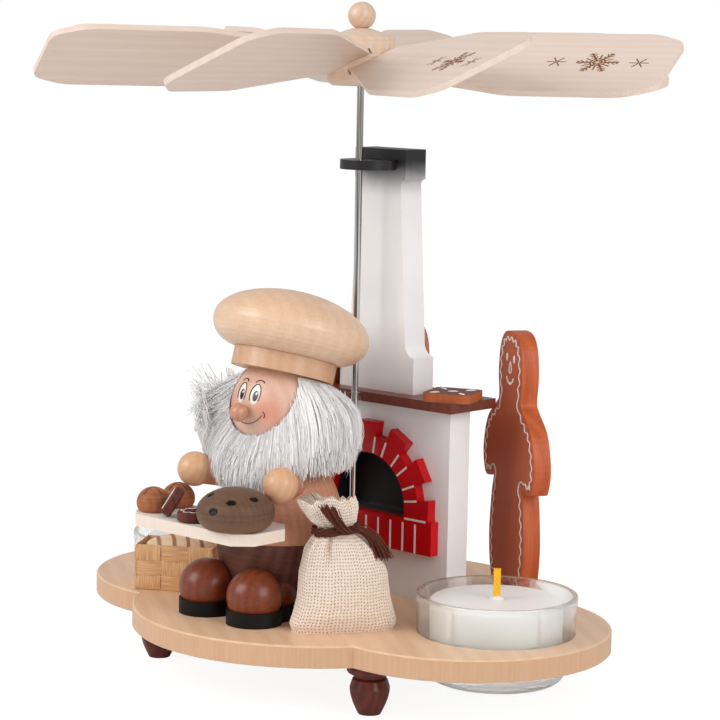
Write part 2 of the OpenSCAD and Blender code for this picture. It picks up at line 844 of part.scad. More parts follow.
ring_edge = 0.8;
module iced_ring() {
    edge = ring_edge;
    color(chocolate)
    turned([[ring_hole_d / 2, edge], [ring_hole_d / 2 + edge, 0], [ring_d / 2 - edge, 0], [ring_d / 2, edge],
            [ring_d / 2, ring_t - edge], [ring_d / 2 - edge, ring_t], [ring_hole_d / 2 + edge, ring_t],
            [ring_hole_d / 2, ring_t - edge]]);
}

ring_flat_pos = [loaf_pos.x - loaf_r - ring_d / 2 - tray_room, tray_front_y + ring_d / 2 + tray_room];
module ring_flat() {
    translate([ring_flat_pos.x, ring_flat_pos.y, tray_top]) iced_ring();
}

// The leaning ring stands on its edge between the front roll and the flat ring, and leans over towards the flat one
ring_lean_angle = 32;
ring_lean_turn = 43;
ring_lean_room = 3;
ring_lean_pos = ring_flat_pos - [ring_d / 2 + ring_t + ring_lean_room, tray_room];
module ring_leaning() {
    foot_drop = ring_edge * sin(ring_lean_angle);
    translate([ring_lean_pos.x, ring_lean_pos.y, tray_top - foot_drop])
        rotate([0, 0, ring_lean_turn]) rotate([0, ring_lean_angle - 90, 0]) translate([ring_d / 2, 0, 0]) iced_ring();
}

// Basket and sack

basket_x = -62;
basket_y = -46;
module basket() {
    w = basket_w / 2;
    d = basket_d / 2;
    color("#c98f4e")
    translate([basket_x, basket_y, deck]) rotate(basket_turn)
    difference() {
        translate([-w, -d, 0]) cube([basket_w, basket_d, basket_h]);
        translate([-w + basket_wall, -d + basket_wall, basket_wall])
            cube([basket_w - 2 * basket_wall, basket_d - 2 * basket_wall, basket_h]);
    }
}

// Two rolls lie in the basket side by side, and a thicker one lies on them
low_roll_r = (basket_d - 2 * basket_wall - 3 * stand_gap) / 4;
top_roll_r = 7;
roll_end_angle = 82;
module basket_roll(r, length) {
    translate([-length / 2, 0, 0]) rotate([0, 90, 0])
        turned(concat([[0, 0]], oval_arc(0, length / 2, r, length / 2, -roll_end_angle, roll_end_angle, 16),
                      [[0, length]]));
}

module basket_rolls() {
    span = basket_w - 2 * basket_wall - 2 * stand_gap;
    low_y = low_roll_r + stand_gap / 2;
    rise = sqrt(pow(low_roll_r + top_roll_r + stand_gap / 3, 2) - low_y * low_y);
    color(pale_wood)
    translate([basket_x, basket_y, deck + basket_wall]) rotate(basket_turn) {
        for (side = [-1, 1])
            translate([0, side * low_y, low_roll_r]) basket_roll(low_roll_r, span);
        translate([0, 0, low_roll_r + rise]) basket_roll(top_roll_r, span);
    }
}

// Points of one level of the sack: an oval with flattened sides
function sack_level(w, d, dx, z, n = 28) =
    [for (i = [0:n - 1]) let (a = 360 * i / n, c = cos(a), s = sin(a))
        [dx + w * sign(c) * pow(abs(c), 0.7), d * sign(s) * pow(abs(s), 0.8), z]];

// Closes a stack of levels into one solid
module stack(levels) {
    n = len(levels[0]);
    m = len(levels);
    polyhedron(
        points = [for (level = levels) each level],
        faces = concat(
            [[for (i = [0:n - 1]) i]],
            [for (k = [0:m - 2], i = [0:n - 1], f = [0, 1])
                f == 0 ? [k * n + i, (k + 1) * n + i, k * n + (i + 1) % n]
                       : [k * n + (i + 1) % n, (k + 1) * n + i, (k + 1) * n + (i + 1) % n]],
            [[for (i = [n - 1:-1:0]) (m - 1) * n + i]]));
}

sack_x = 42.5;
sack_y = -50;
// Lean of the sack's mouth towards the gnome
sack_lean = 7;
// Half width and half depth of the neck under the tie, and how far the cloth bulges beside it
sack_neck_w = 7.8;
sack_neck_d = 6.1;
sack_bulge = 1.5;
tie_room = 0.4;
tie_grip = 0.6;
tie_wrap = 2.6;

// Levels of the sack: height, half width, half depth and lean towards the gnome
function sack_levels() =
    let (w = sack_w / 2, d = sack_d / 2, tie = sack_tie_d / 2 + tie_room, low = sack_tie_z - tie,
         high = sack_tie_z + tie, bulge_d = sack_bulge / 3)
    [[0, 0.96 * w, 0.72 * d, 0],
     [0.05 * sack_tie_z, w, 0.86 * d, 0],
     [0.19 * sack_tie_z, 0.97 * w, 0.98 * d, 0],
     [0.42 * sack_tie_z, 0.88 * w, d, 0],
     [0.65 * sack_tie_z, 0.75 * w, 0.93 * d, 0.07 * sack_lean],
     [0.84 * sack_tie_z, 0.56 * w, 0.78 * d, 0.29 * sack_lean],
     [low, sack_neck_w + sack_bulge, sack_neck_d + bulge_d, 0.5 * sack_lean],
     [low + tie_room, sack_neck_w, sack_neck_d, 0.6 * sack_lean],
     [high - tie_room, sack_neck_w, sack_neck_d, 0.6 * sack_lean],
     [high, sack_neck_w + sack_bulge, sack_neck_d + bulge_d, 0.7 * sack_lean],
     [(sack_tie_z + 2 * sack_h) / 3, 0.5 * w, 0.64 * d, 0.86 * sack_lean],
     [sack_h, 0.53 * w, 0.55 * d, sack_lean]];

module at_sack() {
    translate([sack_x, sack_y, deck]) rotate(sack_turn) children();
}

module sack() {
    color(burlap)
    at_sack() stack([for (l = sack_levels()) sack_level(l[1], l[2], -l[3], l[0])]);
}

// A band between two heights round the sack's neck, grown by a margin
module neck_band(grow, low, high) {
    stack([for (z = [low, high]) sack_level(sack_neck_w + grow, sack_neck_d + grow, -0.6 * sack_lean, z)]);
}

module sack_tie() {
    half = sack_tie_d / 2;
    color(trouser_brown)
    at_sack()
    difference() {
        neck_band(tie_wrap, sack_tie_z - half, sack_tie_z + half);
        neck_band(tie_grip, sack_tie_z - 3 * half, sack_tie_z + 3 * half);
    }
}

// Candles

// The tea light stands on a ledge inside the glass cup
ledge_z = -7.6;
ledge_w = 3.5;
wax_side_gap = 0.35;
glass_foot_round = 4.5;
glass_foot_from = -80;
glass_foot_to = -10;
glass_shoulder = 1.2;
module glass_cup(side) {
    under = -plate_t - glass_drop;
    floor_z = under + glass_floor;
    rim = glass_wall / 2;
    ledge_r = wax_r + wax_side_gap;
    color("#cfe0da", 0.35)
    translate([side * candle_x, plate_y, deck])
    turned(concat(
        [[0, under], [glass_foot_r, under]],
        oval_arc(glass_foot_r, under + glass_foot_round, glass_under_r - glass_foot_r - glass_shoulder,
                 glass_foot_round, glass_foot_from, glass_foot_to, 6),
        [[glass_under_r, -plate_t], [glass_deck_r, 0]],
        arc(glass_rim_r - rim, glass_rise - rim, rim, 0, 180, 10),
        [[max(ledge_r, glass_deck_r - glass_wall), 0], [ledge_r, ledge_z], [ledge_r - ledge_w, ledge_z],
         [glass_foot_r - glass_wall / 2, floor_z + glass_wall], [glass_foot_r - 2 * glass_wall, floor_z],
         [0, floor_z]]));
}
module glass_left() { glass_cup(-1); }
module glass_right() { glass_cup(1); }

wick_t = 1.4;
wick_root = 4;
wick_turn = 40;
module at_wick(side) {
    translate([side * candle_x, plate_y, deck + ledge_z + wax_gap + wax_h]) rotate(wick_turn) children();
}

wax_edge = 0.8;
wax_draft = 0.4;
module tealight(side) {
    foot_r = wax_r - wax_draft;
    color("#f7f5f0")
    difference() {
        translate([side * candle_x, plate_y, deck + ledge_z + wax_gap])
            turned([[0, 0], [foot_r - wax_edge, 0], [foot_r, wax_edge], [wax_r, wax_h - wax_edge],
                    [wax_r - wax_edge, wax_h], [0, wax_h]]);
        at_wick(side) wick_strip();
    }
}
module tealight_left() { tealight(-1); }
module tealight_right() { tealight(1); }

module wick_strip() {
    translate([-wick_w / 2, -wick_t / 2, -wick_root]) cube([wick_w, wick_t, wick_root + wick_h]);
}

module wick(side) {
    color("#f0b400")
    at_wick(side) wick_strip();
}
module wick_left() { wick(-1); }
module wick_right() { wick(1); }

// Rotor

shaft_top = deck + hub_z + hub_h * 0.75;
module rotor_shaft() {
    tip_z = deck + cup_h - cup_seat_r + pivot_gap;
    color(steel)
    turned([[0, tip_z], [shaft_d / 2, tip_z + shaft_d / 2], [shaft_d / 2, shaft_top], [0, shaft_top]]);
}

blade_mid_z = deck + hub_z + hub_h / 2;
blade_root_r = hub_d / 2 - slot_depth;

// Angle from one blade to the next
blade_angle = 45;

// A blade lies along +X and rises towards +Y before it is turned to its place
module at_blade(i) {
    translate([0, 0, blade_mid_z])
    rotate([blade_pitch, -blade_rise, blade_phase + blade_angle * (i - 1)]) children();
}

// The finial's dowel stands in the hub, over the end of the shaft
dowel_d = 4;
slot_room = 1.2;
module rotor_hub() {
    slot_w = blade_root_w + 2 * slot_room;
    color(maple)
    difference() {
        translate([0, 0, deck + hub_z])
            turned(concat([[0, 0]], arc(hub_d / 2 - hub_round, hub_round, hub_round, -90, 0, 6),
                          [[hub_d / 2, hub_h], [dowel_d, hub_h + hub_cone_h], [0, hub_h + hub_cone_h]]));
        for (i = [1:8])
            at_blade(i) translate([blade_root_r, -slot_w / 2, -blade_t / 2 - slot_clear])
                cube([hub_d, slot_w, blade_t + 2 * slot_clear]);
        cylinder(d = shaft_d, h = shaft_top);
        translate([0, 0, shaft_top]) cylinder(d = dowel_d, h = hub_h);
    }
}

finial_sink = 0.6;
module finial() {
    seat_z = deck + hub_z + hub_h + hub_cone_h;
    ball_z = seat_z + finial_d / 2 - finial_sink;
    color(pale_wood)
    union() {
        difference() {
            translate([0, 0, ball_z]) sphere(d = finial_d);
            translate([0, 0, seat_z - finial_d]) cylinder(d = finial_d, h = finial_d);
        }
        translate([0, 0, shaft_top]) cylinder(d = dowel_d, h = ball_z - shaft_top);
    }
}

// Outline whose listed corners are rounded over a length on each of their sides
function rounded_corners(points, round) =
    let (n = len(points))
    [for (i = [0:n - 1]) let (p = points[i], a = points[(i + n - 1) % n] - p, b = points[(i + 1) % n] - p)
        each (i == 0 || i == n - 1) ? [p]
            : [for (k = [0:5]) let (t = k / 5)
                p + pow(1 - t, 2) * round * a / norm(a) + pow(t, 2) * round * b / norm(b)]];

module blade(i) {
    h = blade_w / 2;
    tip = h - blade_corner_w;
    root = blade_root_w / 2;
    far = blade_r - blade_corner_r;
    color(maple)
    at_blade(i) translate([0, 0, -blade_t / 2]) linear_extrude(blade_t)
        polygon(rounded_corners([[blade_root_r, -root], [blade_shoulder_r, -h], [far, -h], [blade_r, -tip],
                                 [blade_r, tip], [far, h], [blade_shoulder_r, h], [blade_root_r, root]],
                                blade_round));
}

base_plate();
feet();
pivot_cup();
oven_body();
firebox();
brick_surround();
brick_joints();
mantel_shelf();
chimney();
guide_bracket();
honey_cake_right();
honey_cake_left();
gingerbread_man_right();
gingerbread_man_back();
trousers();
jacket();
sleeve_left();
sleeve_right();
hand_left();
hand_right();
head();
nose();
beard();
hair();
cap_band();
cap_top();
shoe_left();
shoe_right();
sole_left();
sole_right();
tray();
loaf();
roll_front();
roll_back();
ring_leaning();
ring_flat();
basket();
basket_rolls();
sack();
sack_tie();
glass_left();
glass_right();
tealight_left();
tealight_right();
wick_left();
wick_right();
rotor_shaft();
rotor_hub();
finial();
for (i = [1:8]) blade(i);
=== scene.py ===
import math

import bpy
import numpy as np
from mathutils import Matrix, Vector


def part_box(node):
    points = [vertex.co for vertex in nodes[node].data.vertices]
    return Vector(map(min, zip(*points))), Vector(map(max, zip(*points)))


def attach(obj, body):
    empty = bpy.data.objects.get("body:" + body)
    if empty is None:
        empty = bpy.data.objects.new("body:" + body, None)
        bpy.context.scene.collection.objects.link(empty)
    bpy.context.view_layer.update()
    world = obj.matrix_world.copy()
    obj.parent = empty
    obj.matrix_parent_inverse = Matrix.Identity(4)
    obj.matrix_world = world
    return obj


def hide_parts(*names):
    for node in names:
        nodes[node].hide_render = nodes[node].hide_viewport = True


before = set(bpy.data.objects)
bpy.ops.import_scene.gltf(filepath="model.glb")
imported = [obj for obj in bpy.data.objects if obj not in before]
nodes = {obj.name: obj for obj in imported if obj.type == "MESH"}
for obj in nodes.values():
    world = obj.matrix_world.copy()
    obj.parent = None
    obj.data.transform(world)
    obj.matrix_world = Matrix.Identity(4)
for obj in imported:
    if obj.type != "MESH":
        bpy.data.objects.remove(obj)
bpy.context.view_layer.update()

# Base plate
# Four round lobes sawn from one light alder board, sanded and clear varnished.
# The top shows soft long grain, and the sawn edge is warmer with fine upright tool marks.
MM = 0.001
DECK = 30.5  # the plate's top, in mm like all sizes in this file
WAVE = 0.314  # how far apart the bands of a wave texture lie at a scale of 1


def colour(code):
    """sRGB hex colour as linear RGBA."""
    parts = [int(code[i:i + 2], 16) / 255 for i in (1, 3, 5)]
    return tuple(c / 12.92 if c <= 0.04045 else ((c + 0.055) / 1.055) ** 2.4 for c in parts) + (1.0,)


def add(tree, kind, inputs=None, **settings):
    """Adds a node, sets it up and fills or links its inputs."""
    made = tree.nodes.new(kind)
    for name, value in settings.items():
        setattr(made, name, value)
    for key, value in (inputs or {}).items():
        if isinstance(value, bpy.types.NodeSocket):
            tree.links.new(value, made.inputs[key])
        else:
            made.inputs[key].default_value = value
    return made


def new_finish(name, roughness, **sockets):
    """An empty surface with constant values on the shader's own sockets, its tree and its coordinates."""
    material = bpy.data.materials.new(name)
    material.use_nodes = True
    tree = material.node_tree
    for key, value in {"Roughness": roughness, **sockets}.items():
        tree.nodes["Principled BSDF"].inputs[key.replace("_", " ")].default_value = value
    return material, tree, add(tree, "ShaderNodeTexCoord").outputs["Object"]


def coloured(tree, share, first, second, height=None, strength=0.0, depth=0.0):
    """Colours a surface from first to second by a share, and raises it by a height of a depth in mm."""
    shader = tree.nodes["Principled BSDF"]
    tint = add(tree, "ShaderNodeMix", {0: share, 6: colour(first), 7: colour(second)}, data_type="RGBA")
    tree.links.new(tint.outputs[2], shader.inputs["Base Color"])
    if height:
        bump = add(tree, "ShaderNodeBump", {"Strength": strength, "Distance": depth * MM, "Height": height})
        tree.links.new(bump.outputs[0], shader.inputs["Normal"])


def laid_over(material, share, tint):
    """Lays another colour over a finish as far as the share says."""
    tree = material.node_tree
    base = tree.nodes["Principled BSDF"].inputs["Base Color"]
    both = add(tree, "ShaderNodeMix", {0: share, 6: base.links[0].from_socket, 7: tint}, data_type="RGBA")
    tree.links.new(both.outputs[2], base)


def wood(name, base, line, turn=(0, 0, 0), ring=5.0, rings=0.5, roughness=0.45, relief=0.03, **sockets):
    """Wood with its fibres along X after the turn. Ring is the spacing of the year rings in mm."""
    material, tree, place = new_finish(name, roughness, **sockets)
    turned = add(tree, "ShaderNodeMapping", {"Vector": place, "Rotation": turn})
    long_way = add(tree, "ShaderNodeMapping", {"Vector": turned.outputs[0], "Scale": (55, 1000, 1000)})
    fibre = add(tree, "ShaderNodeTexNoise", {"Vector": long_way.outputs[0], "Scale": 0.9, "Detail": 5.0,
                                             "Roughness": 0.65})
    bands = add(tree, "ShaderNodeTexWave", {"Vector": long_way.outputs[0], "Scale": WAVE / ring, "Distortion": 5.0,
                                            "Detail": 2.0, "Detail Scale": 0.35}, bands_direction="Y")
    tone = add(tree, "ShaderNodeMath", {0: bands.outputs["Fac"], 1: rings, 2: fibre.outputs["Fac"]},
               operation="MULTIPLY_ADD")
    depth = add(tree, "ShaderNodeMapRange", {"Value": tone.outputs[0], "From Min": 0.3, "From Max": 0.75 + rings})
    coloured(tree, depth.outputs[0], base, line, fibre.outputs["Fac"], 0.5, relief)
    return material


def dress(material, *names):
    """Gives CAD nodes a finish."""
    for name in names:
        nodes[name].data.materials.clear()
        nodes[name].data.materials.append(material)


def edged_wood(name, top, top_line, edge, edge_line, **settings):
    """Wood whose upright faces have a colour of their own, with fine upright saw marks 1.2 mm apart."""
    material = wood(name, top, top_line, **settings)
    tree = material.node_tree
    place = tree.nodes["Texture Coordinate"].outputs["Object"]
    tall = add(tree, "ShaderNodeMapping", {"Vector": place, "Scale": (1000, 1000, 60)})
    marks = add(tree, "ShaderNodeTexNoise", {"Vector": tall.outputs[0], "Scale": 0.8, "Detail": 3.0})
    side = add(tree, "ShaderNodeMix", {0: marks.outputs["Fac"], 6: colour(edge), 7: colour(edge_line)},
               data_type="RGBA")
    facing = add(tree, "ShaderNodeNewGeometry")
    parts = add(tree, "ShaderNodeSeparateXYZ", {0: facing.outputs["Normal"]})
    level = add(tree, "ShaderNodeMath", {0: parts.outputs["Z"]}, operation="ABSOLUTE")
    share = add(tree, "ShaderNodeMapRange", {"Value": level.outputs[0], "From Min": 0.35, "From Max": 0.75,
                                             "To Min": 1.0, "To Max": 0.0})
    laid_over(material, share.outputs[0], side.outputs[2])
    return material


alder = edged_wood("varnished_alder", "#edcaa9", "#dfb48e", "#dcb491", "#c99b76", turn=(0, 0, math.radians(35)),
                   ring=9.0, rings=0.3, roughness=0.42, Coat_Weight=0.12, Coat_Roughness=0.3)
dress(alder, "base_plate")

# Feet
# Turned beech feet with a flat disc on a bellied stem, stained dark brown and varnished glossy.
# Turning leaves faint rings round each foot. Each is glued into the plate by its tenon.
dark_beech = wood("stained_beech", "#6d2819", "#47170d", turn=(0, math.radians(90), 0), ring=3.0,
                  roughness=0.34, Specular_IOR_Level=0.3, Coat_Weight=0.25, Coat_Roughness=0.15)
dress(dark_beech, "feet")

# Pivot cup
# A turned brass cup in the plate, in which the pointed end of the shaft runs.
# Fine turning marks lie round its axis, about 1 mm apart.
brass, tree, place = new_finish("turned_brass", 0.28, Metallic=1.0)
marks = add(tree, "ShaderNodeTexWave", {"Vector": place, "Scale": 320.0, "Distortion": 0.4}, wave_type="RINGS",
            rings_direction="Z")
coloured(tree, marks.outputs["Fac"], "#d8b25c", "#b98f3e")
dress(brass, "pivot_cup")

# Oven
# A thick board in white satin paint with an arched recess. The recess has a matt black lining,
# whose floor is painted greyer as a painted highlight, where the floor catches the light.
FIREBOX_FLOOR = 66.2


def paint(name, base, shade, roughness, grit=2.5, **sockets):
    """Sprayed paint on sanded wood: an even colour with soft clouds and a faint orange peel, grit in mm."""
    material, tree, place = new_finish(name, roughness, **sockets)
    clouds = add(tree, "ShaderNodeTexNoise", {"Vector": place, "Scale": 35.0, "Detail": 3.0})
    peel = add(tree, "ShaderNodeTexNoise", {"Vector": place, "Scale": 1000 / grit, "Detail": 2.0})
    share = add(tree, "ShaderNodeMapRange", {"Value": clouds.outputs["Fac"], "From Min": 0.35, "From Max": 0.7})
    coloured(tree, share.outputs[0], base, shade, peel.outputs["Fac"], 0.3, 0.04)
    return material


def band_of_colour(material, code, low, high):
    """Fades a finish to another colour from one level to another in mm, with a cloudy sprayed edge."""
    tree = material.node_tree
    place = tree.nodes["Texture Coordinate"].outputs["Object"]
    parts = add(tree, "ShaderNodeSeparateXYZ", {0: place})
    spray = add(tree, "ShaderNodeTexNoise", {"Vector": place, "Scale": 260.0, "Detail": 2.0})
    drift = add(tree, "ShaderNodeMath", {0: spray.outputs["Fac"], 1: 2 * MM, 2: parts.outputs["Z"]},
                operation="MULTIPLY_ADD")
    share = add(tree, "ShaderNodeMapRange", {"Value": drift.outputs[0], "From Min": (low + 1) * MM,
                                             "From Max": (high + 1) * MM}, interpolation_type="SMOOTHSTEP")
    laid_over(material, share.outputs[0], colour(code))
    return material


dress(paint("white_satin_paint", "#f7f6f7", "#f1f0f1", 0.38), "oven_body")
lining = paint("black_oven_lining", "#131315", "#1c1c1f", 0.7)
# Painted highlight: the firebox floor is coloured grey where it faces up to the light.
dress(band_of_colour(lining, "#4a4a4e", FIREBOX_FLOOR + 2, FIREBOX_FLOOR), "firebox")

# Brick surround
# A fretsawn board in red gloss paint, glued on the oven round its mouth.
# The joints between the bricks are thin white brush lines.
brick_red = paint("red_gloss_paint", "#cf0e1a", "#b90914", 0.3, grit=3.5, Specular_IOR_Level=0.18,
                  Coat_Weight=0.12, Coat_Roughness=0.2)
dress(brick_red, "brick_surround")
dress(paint("white_joint_lines", "#f2ece8", "#e2d8d4", 0.5, grit=0.8), "brick_joints")

# Mantel shelf
# A dark stained strip of beech, glued on the oven's top, which carries the cakes.
# Its sawn front edge has taken the stain redder.
mantel = edged_wood("stained_mantel", "#854231", "#5b2a1d", "#823b29", "#542014", ring=4.0, roughness=0.36,
                    Specular_IOR_Level=0.35, Coat_Weight=0.1, Coat_Roughness=0.3)
dress(mantel, "mantel_shelf")

# Chimney
# White like the oven, with a head that is sprayed black and fades out downwards like soot.
# The black bracket that guides the shaft is glued into a slot under the head.
SOOT_FROM, SOOT_FULL = 205.0, 223.0
chimney_paint = paint("sooted_white_paint", "#f7f6f7", "#f1f0f1", 0.38)
dress(band_of_colour(chimney_paint, "#1a1b20", SOOT_FROM, SOOT_FULL), "chimney")
dress(paint("black_satin_paint", "#151519", "#1f1f24", 0.32), "guide_bracket")

# Honey cakes
# Small rounded squares of orange stained wood with a brown top. Five white almond shapes are
# painted thick on each top: one for each corner and one in the middle.
CAKE_SIDE, CAKE_T, CAKE_LEAN = 21.5, 3.7, math.radians(12)
ALMOND, CORNER_ALMOND, ALMOND_AWAY = (2.4, 1.0, 0.4), (2.6, 1.0, 0.4), 6.2
CHIMNEY_SIDE, CAKE_GAP, CAKE_TOUCH = -22, 0.3, 16  # the left cake leans on the chimney at this height


def in_scene(name, data):
    """A new object at the origin."""
    made = bpy.data.objects.new(name, data)
    bpy.context.scene.collection.objects.link(made)
    return made


def riding(name, mesh, body):
    """An object for a finished mesh, riding on a body."""
    made = in_scene(name, mesh)
    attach(made, body)
    return made


def piece(name, points, faces, material, body, smooth=True):
    """A new mesh piece in metres that rides on a body."""
    mesh = bpy.data.meshes.new(name)
    mesh.from_pydata([tuple(p) for p in points], [], [tuple(int(i) for i in f) for f in faces])
    mesh.materials.append(material)
    mesh.polygons.foreach_set("use_smooth", [smooth] * len(mesh.polygons))
    mesh.update()
    return riding(name, mesh, body)


def joined(parts):
    """Several (points, faces) lists as one."""
    points, faces, start = [], [], 0
    for some, rings in parts:
        points.extend(some)
        faces.extend([[i + start for i in ring] for ring in rings])
        start += len(some)
    return points, faces


def between_rings(rows, around, first=0):
    """Faces that join closed rings of points, each to the next."""
    return [(k + i, k + (i + 1) % around, k + around + (i + 1) % around, k + around + i)
            for k in range(first, first + (rows - 1) * around, around) for i in range(around)]


def fan(tip, ring, around):
    """Faces that join a point to a closed ring of points."""
    return [(tip, ring + i, ring + (i + 1) % around) for i in range(around)]


def blob(centre, half, turn=0.0, across=16, up=5):
    """A domed drop on a flat ground, as (points, faces): half sizes in mm, turned in the ground's plane."""
    c, s = math.cos(turn), math.sin(turn)
    points = []
    for k in range(up):
        a = math.pi / 2 * k / up
        for i in range(across):
            b = 2 * math.pi * i / across
            x, y = half[0] * math.cos(a) * math.cos(b), half[1] * math.cos(a) * math.sin(b)
            points.append((centre[0] + c * x - s * y, centre[1] + s * x + c * y, centre[2] + half[2] * math.sin(a)))
    points.append((centre[0], centre[1], centre[2] + half[2]))
    dome = between_rings(up, across) + fan(len(points) - 1, (up - 1) * across, across)
    return points, dome + [tuple(range(across - 1, -1, -1))]


def placed(points, matrix):
    """Points in mm moved by a matrix and turned to metres."""
    return [(matrix @ Vector(p)) * MM for p in points]


cake_stain = edged_wood("stained_honey_cake", "#753b2c", "#5c2a1e", "#bf683a", "#9b4922", ring=3.0, roughness=0.5,
                        Specular_IOR_Level=0.3)
dress(cake_stain, "honey_cake_right", "honey_cake_left")
icing = paint("thick_white_icing", "#f4efe9", "#e8dfd6", 0.45, grit=1.2)
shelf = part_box("mantel_shelf")[1].z / MM
almonds = joined([blob((0, 0, 0), ALMOND, 0.4)] + [
    blob((ALMOND_AWAY * sx, ALMOND_AWAY * sy, 0), CORNER_ALMOND, math.atan2(sy, sx))
    for sx in (-1, 1) for sy in (-1, 1)])
lying = Matrix.Translation((42, 17, shelf + CAKE_T)) @ Matrix.Rotation(math.radians(22), 4, "Z")
leaning = (Matrix.Translation((CHIMNEY_SIDE - CAKE_GAP - CAKE_TOUCH * math.tan(CAKE_LEAN), 20, shelf))
           @ Matrix.Rotation(CAKE_LEAN - math.pi / 2, 4, "Y") @ Matrix.Translation((CAKE_SIDE / 2, 0, CAKE_T)))
for name, where in (("cake_icing_right", lying), ("cake_icing_left", leaning)):
    piece(name, placed(almonds[0], where), almonds[1], icing, "base")

# Gingerbread men
# Fretsawn from thick boards and stained orange brown, with the front sprayed darker in the middle.
# A white icing line waves along the edge, with a face and spikes at hands and feet.
MAN_W, MAN_H, MAN_T = 68.0, 118.0, 7.7
MAN_HALF = [(0.32, 0), (0.58, 0.06), (0.68, 0.2), (0.62, 0.36), (0.55, 0.435), (0.68, 0.425), (0.9, 0.43),
            (1, 0.52), (0.86, 0.64), (0.54, 0.71), (0.42, 0.745), (0.46, 0.84), (0.4, 0.94), (0.2, 0.995)]
OUTLINE_STEP, ICING_IN, ICING_WAVE, ICING_LOWEST = 0.6, 3.4, 6.0, 2.0
MAN_EYE_X, MAN_EYE, SMILE_DROP = 4.6, (1.1, 1.9, 0.4), (0.65, 0.65, 0.45)
man_stain = wood("stained_gingerbread", "#cd6638", "#a94a23", turn=(0, math.radians(90), 0), ring=6.0, rings=0.3,
                 roughness=0.44, relief=0.06, Specular_IOR_Level=0.3)
men = {"right": Matrix.Translation((49.3, 52.5, DECK)) @ Matrix.Rotation(math.radians(-31), 4, "Z"),
       "back": Matrix.Translation((-30, 58.5, DECK)) @ Matrix.Rotation(math.radians(211), 4, "Z")}


def face_tint(material, matrix, code):
    """Darkens the face that looks along the matrix's -Y, most in its middle."""
    tree = material.node_tree
    out = matrix.to_3x3() @ Vector((0, -1, 0))
    facing = add(tree, "ShaderNodeNewGeometry")
    toward = add(tree, "ShaderNodeVectorMath", {0: facing.outputs["Normal"], 1: out}, operation="DOT_PRODUCT")
    chest = matrix @ Vector((0, -MAN_T / 2, 0.55 * MAN_H)) * MM
    away = add(tree, "ShaderNodeVectorMath", {0: tree.nodes["Texture Coordinate"].outputs["Object"], 1: chest},
               operation="DISTANCE")
    centre = add(tree, "ShaderNodeMapRange", {"Value": away.outputs["Value"], "From Min": 0.0, "From Max": 75 * MM,
                                              "To Min": 1.0, "To Max": 0.65})
    face = add(tree, "ShaderNodeMapRange", {"Value": toward.outputs["Value"], "From Min": 0.8, "From Max": 0.95})
    share = add(tree, "ShaderNodeMath", {0: centre.outputs[0], 1: face.outputs[0]}, operation="MULTIPLY")
    laid_over(material, share.outputs[0], colour(code))


def smooth_loop(points, steps):
    """A closed smooth curve through the points."""
    b = np.array(points, float)
    a, c, d = np.roll(b, 1, 0), np.roll(b, -1, 0), np.roll(b, -2, 0)
    return np.array([0.5 * (2 * b[i] + (c[i] - a[i]) * t + (2 * a[i] - 5 * b[i] + 4 * c[i] - d[i]) * t ** 2
                            + (3 * b[i] - a[i] - 3 * c[i] + d[i]) * t ** 3)
                     for i in range(len(b)) for t in np.arange(steps) / steps])


def even(points, step):
    """The same closed line with points at an even spacing."""
    points = np.vstack([points, points[:1]])
    along = np.concatenate([[0], np.cumsum(np.linalg.norm(np.diff(points, axis=0), axis=1))])
    count = max(2, int(round(along[-1] / step)))
    at = np.linspace(0, along[-1], count + 1)[:count]
    return np.array([np.interp(at, along, points[:, k]) for k in range(points.shape[1])]).T


def new_tree(name, **inputs):
    """A geometry tree with named inputs of a kind each, and its input node."""
    tree = bpy.data.node_groups.new(name, "GeometryNodeTree")
    for socket, kind in inputs.items():
        tree.interface.new_socket(name=socket, in_out="INPUT", socket_type="NodeSocket" + kind)
    tree.interface.new_socket(name="Piece", in_out="OUTPUT", socket_type="NodeSocketGeometry")
    return tree, add(tree, "NodeGroupInput")


def end_tree(tree, given, geometry):
    """Ends a tree with plain faces in the finish that it is given."""
    real = add(tree, "GeometryNodeRealizeInstances", {"Geometry": geometry})
    done = add(tree, "GeometryNodeSetMaterial", {"Geometry": real.outputs[0], "Material": given.outputs["Finish"]})
    add(tree, "NodeGroupOutput", {"Piece": done.outputs[0]})


def made_by(tree, mesh, **values):
    """The plain mesh that a tree makes of a mesh. Its holder and modifier are removed."""
    holder = in_scene(mesh.name, mesh)
    modifier = holder.modifiers.new(tree.name, "NODES")
    modifier.node_group = tree
    known = {item.name: item.identifier for item in tree.interface.items_tree if item.in_out == "INPUT"}
    for key, value in values.items():
        modifier[known[key]] = value
    bpy.context.view_layer.update()
    plain = bpy.data.meshes.new_from_object(holder.evaluated_get(bpy.context.evaluated_depsgraph_get()))
    bpy.data.objects.remove(holder)
    return plain


# The tree that draws a rod, line or strand along each path of a mesh of edges. Where the points
# have an outward direction, the width of the section lies along it.
sweep, given = new_tree("drawn_along_path", Path="Geometry", Width="Float", Height="Float", Taper="Float", Sides="Int",
                        Finish="Material")
line = add(sweep, "GeometryNodeMeshToCurve", {"Mesh": given.outputs["Path"]})
way = add(sweep, "GeometryNodeInputNamedAttribute", {"Name": "outward"}, data_type="FLOAT_VECTOR")
facing = add(sweep, "GeometryNodeSetCurveNormal", {"Curve": line.outputs[0], "Selection": way.outputs["Exists"],
                                                   "Normal": way.outputs["Attribute"]}, mode="FREE")
far = add(sweep, "GeometryNodeSplineParameter")
late = add(sweep, "ShaderNodeMath", {0: far.outputs["Factor"], 1: 2.0}, operation="POWER")
cut = add(sweep, "ShaderNodeMath", {0: late.outputs[0], 1: given.outputs["Taper"]}, operation="MULTIPLY")
left = add(sweep, "ShaderNodeMath", {0: 1.0, 1: cut.outputs[0]}, operation="SUBTRACT")
thin = add(sweep, "GeometryNodeSetCurveRadius", {"Curve": facing.outputs[0], "Radius": left.outputs[0]})
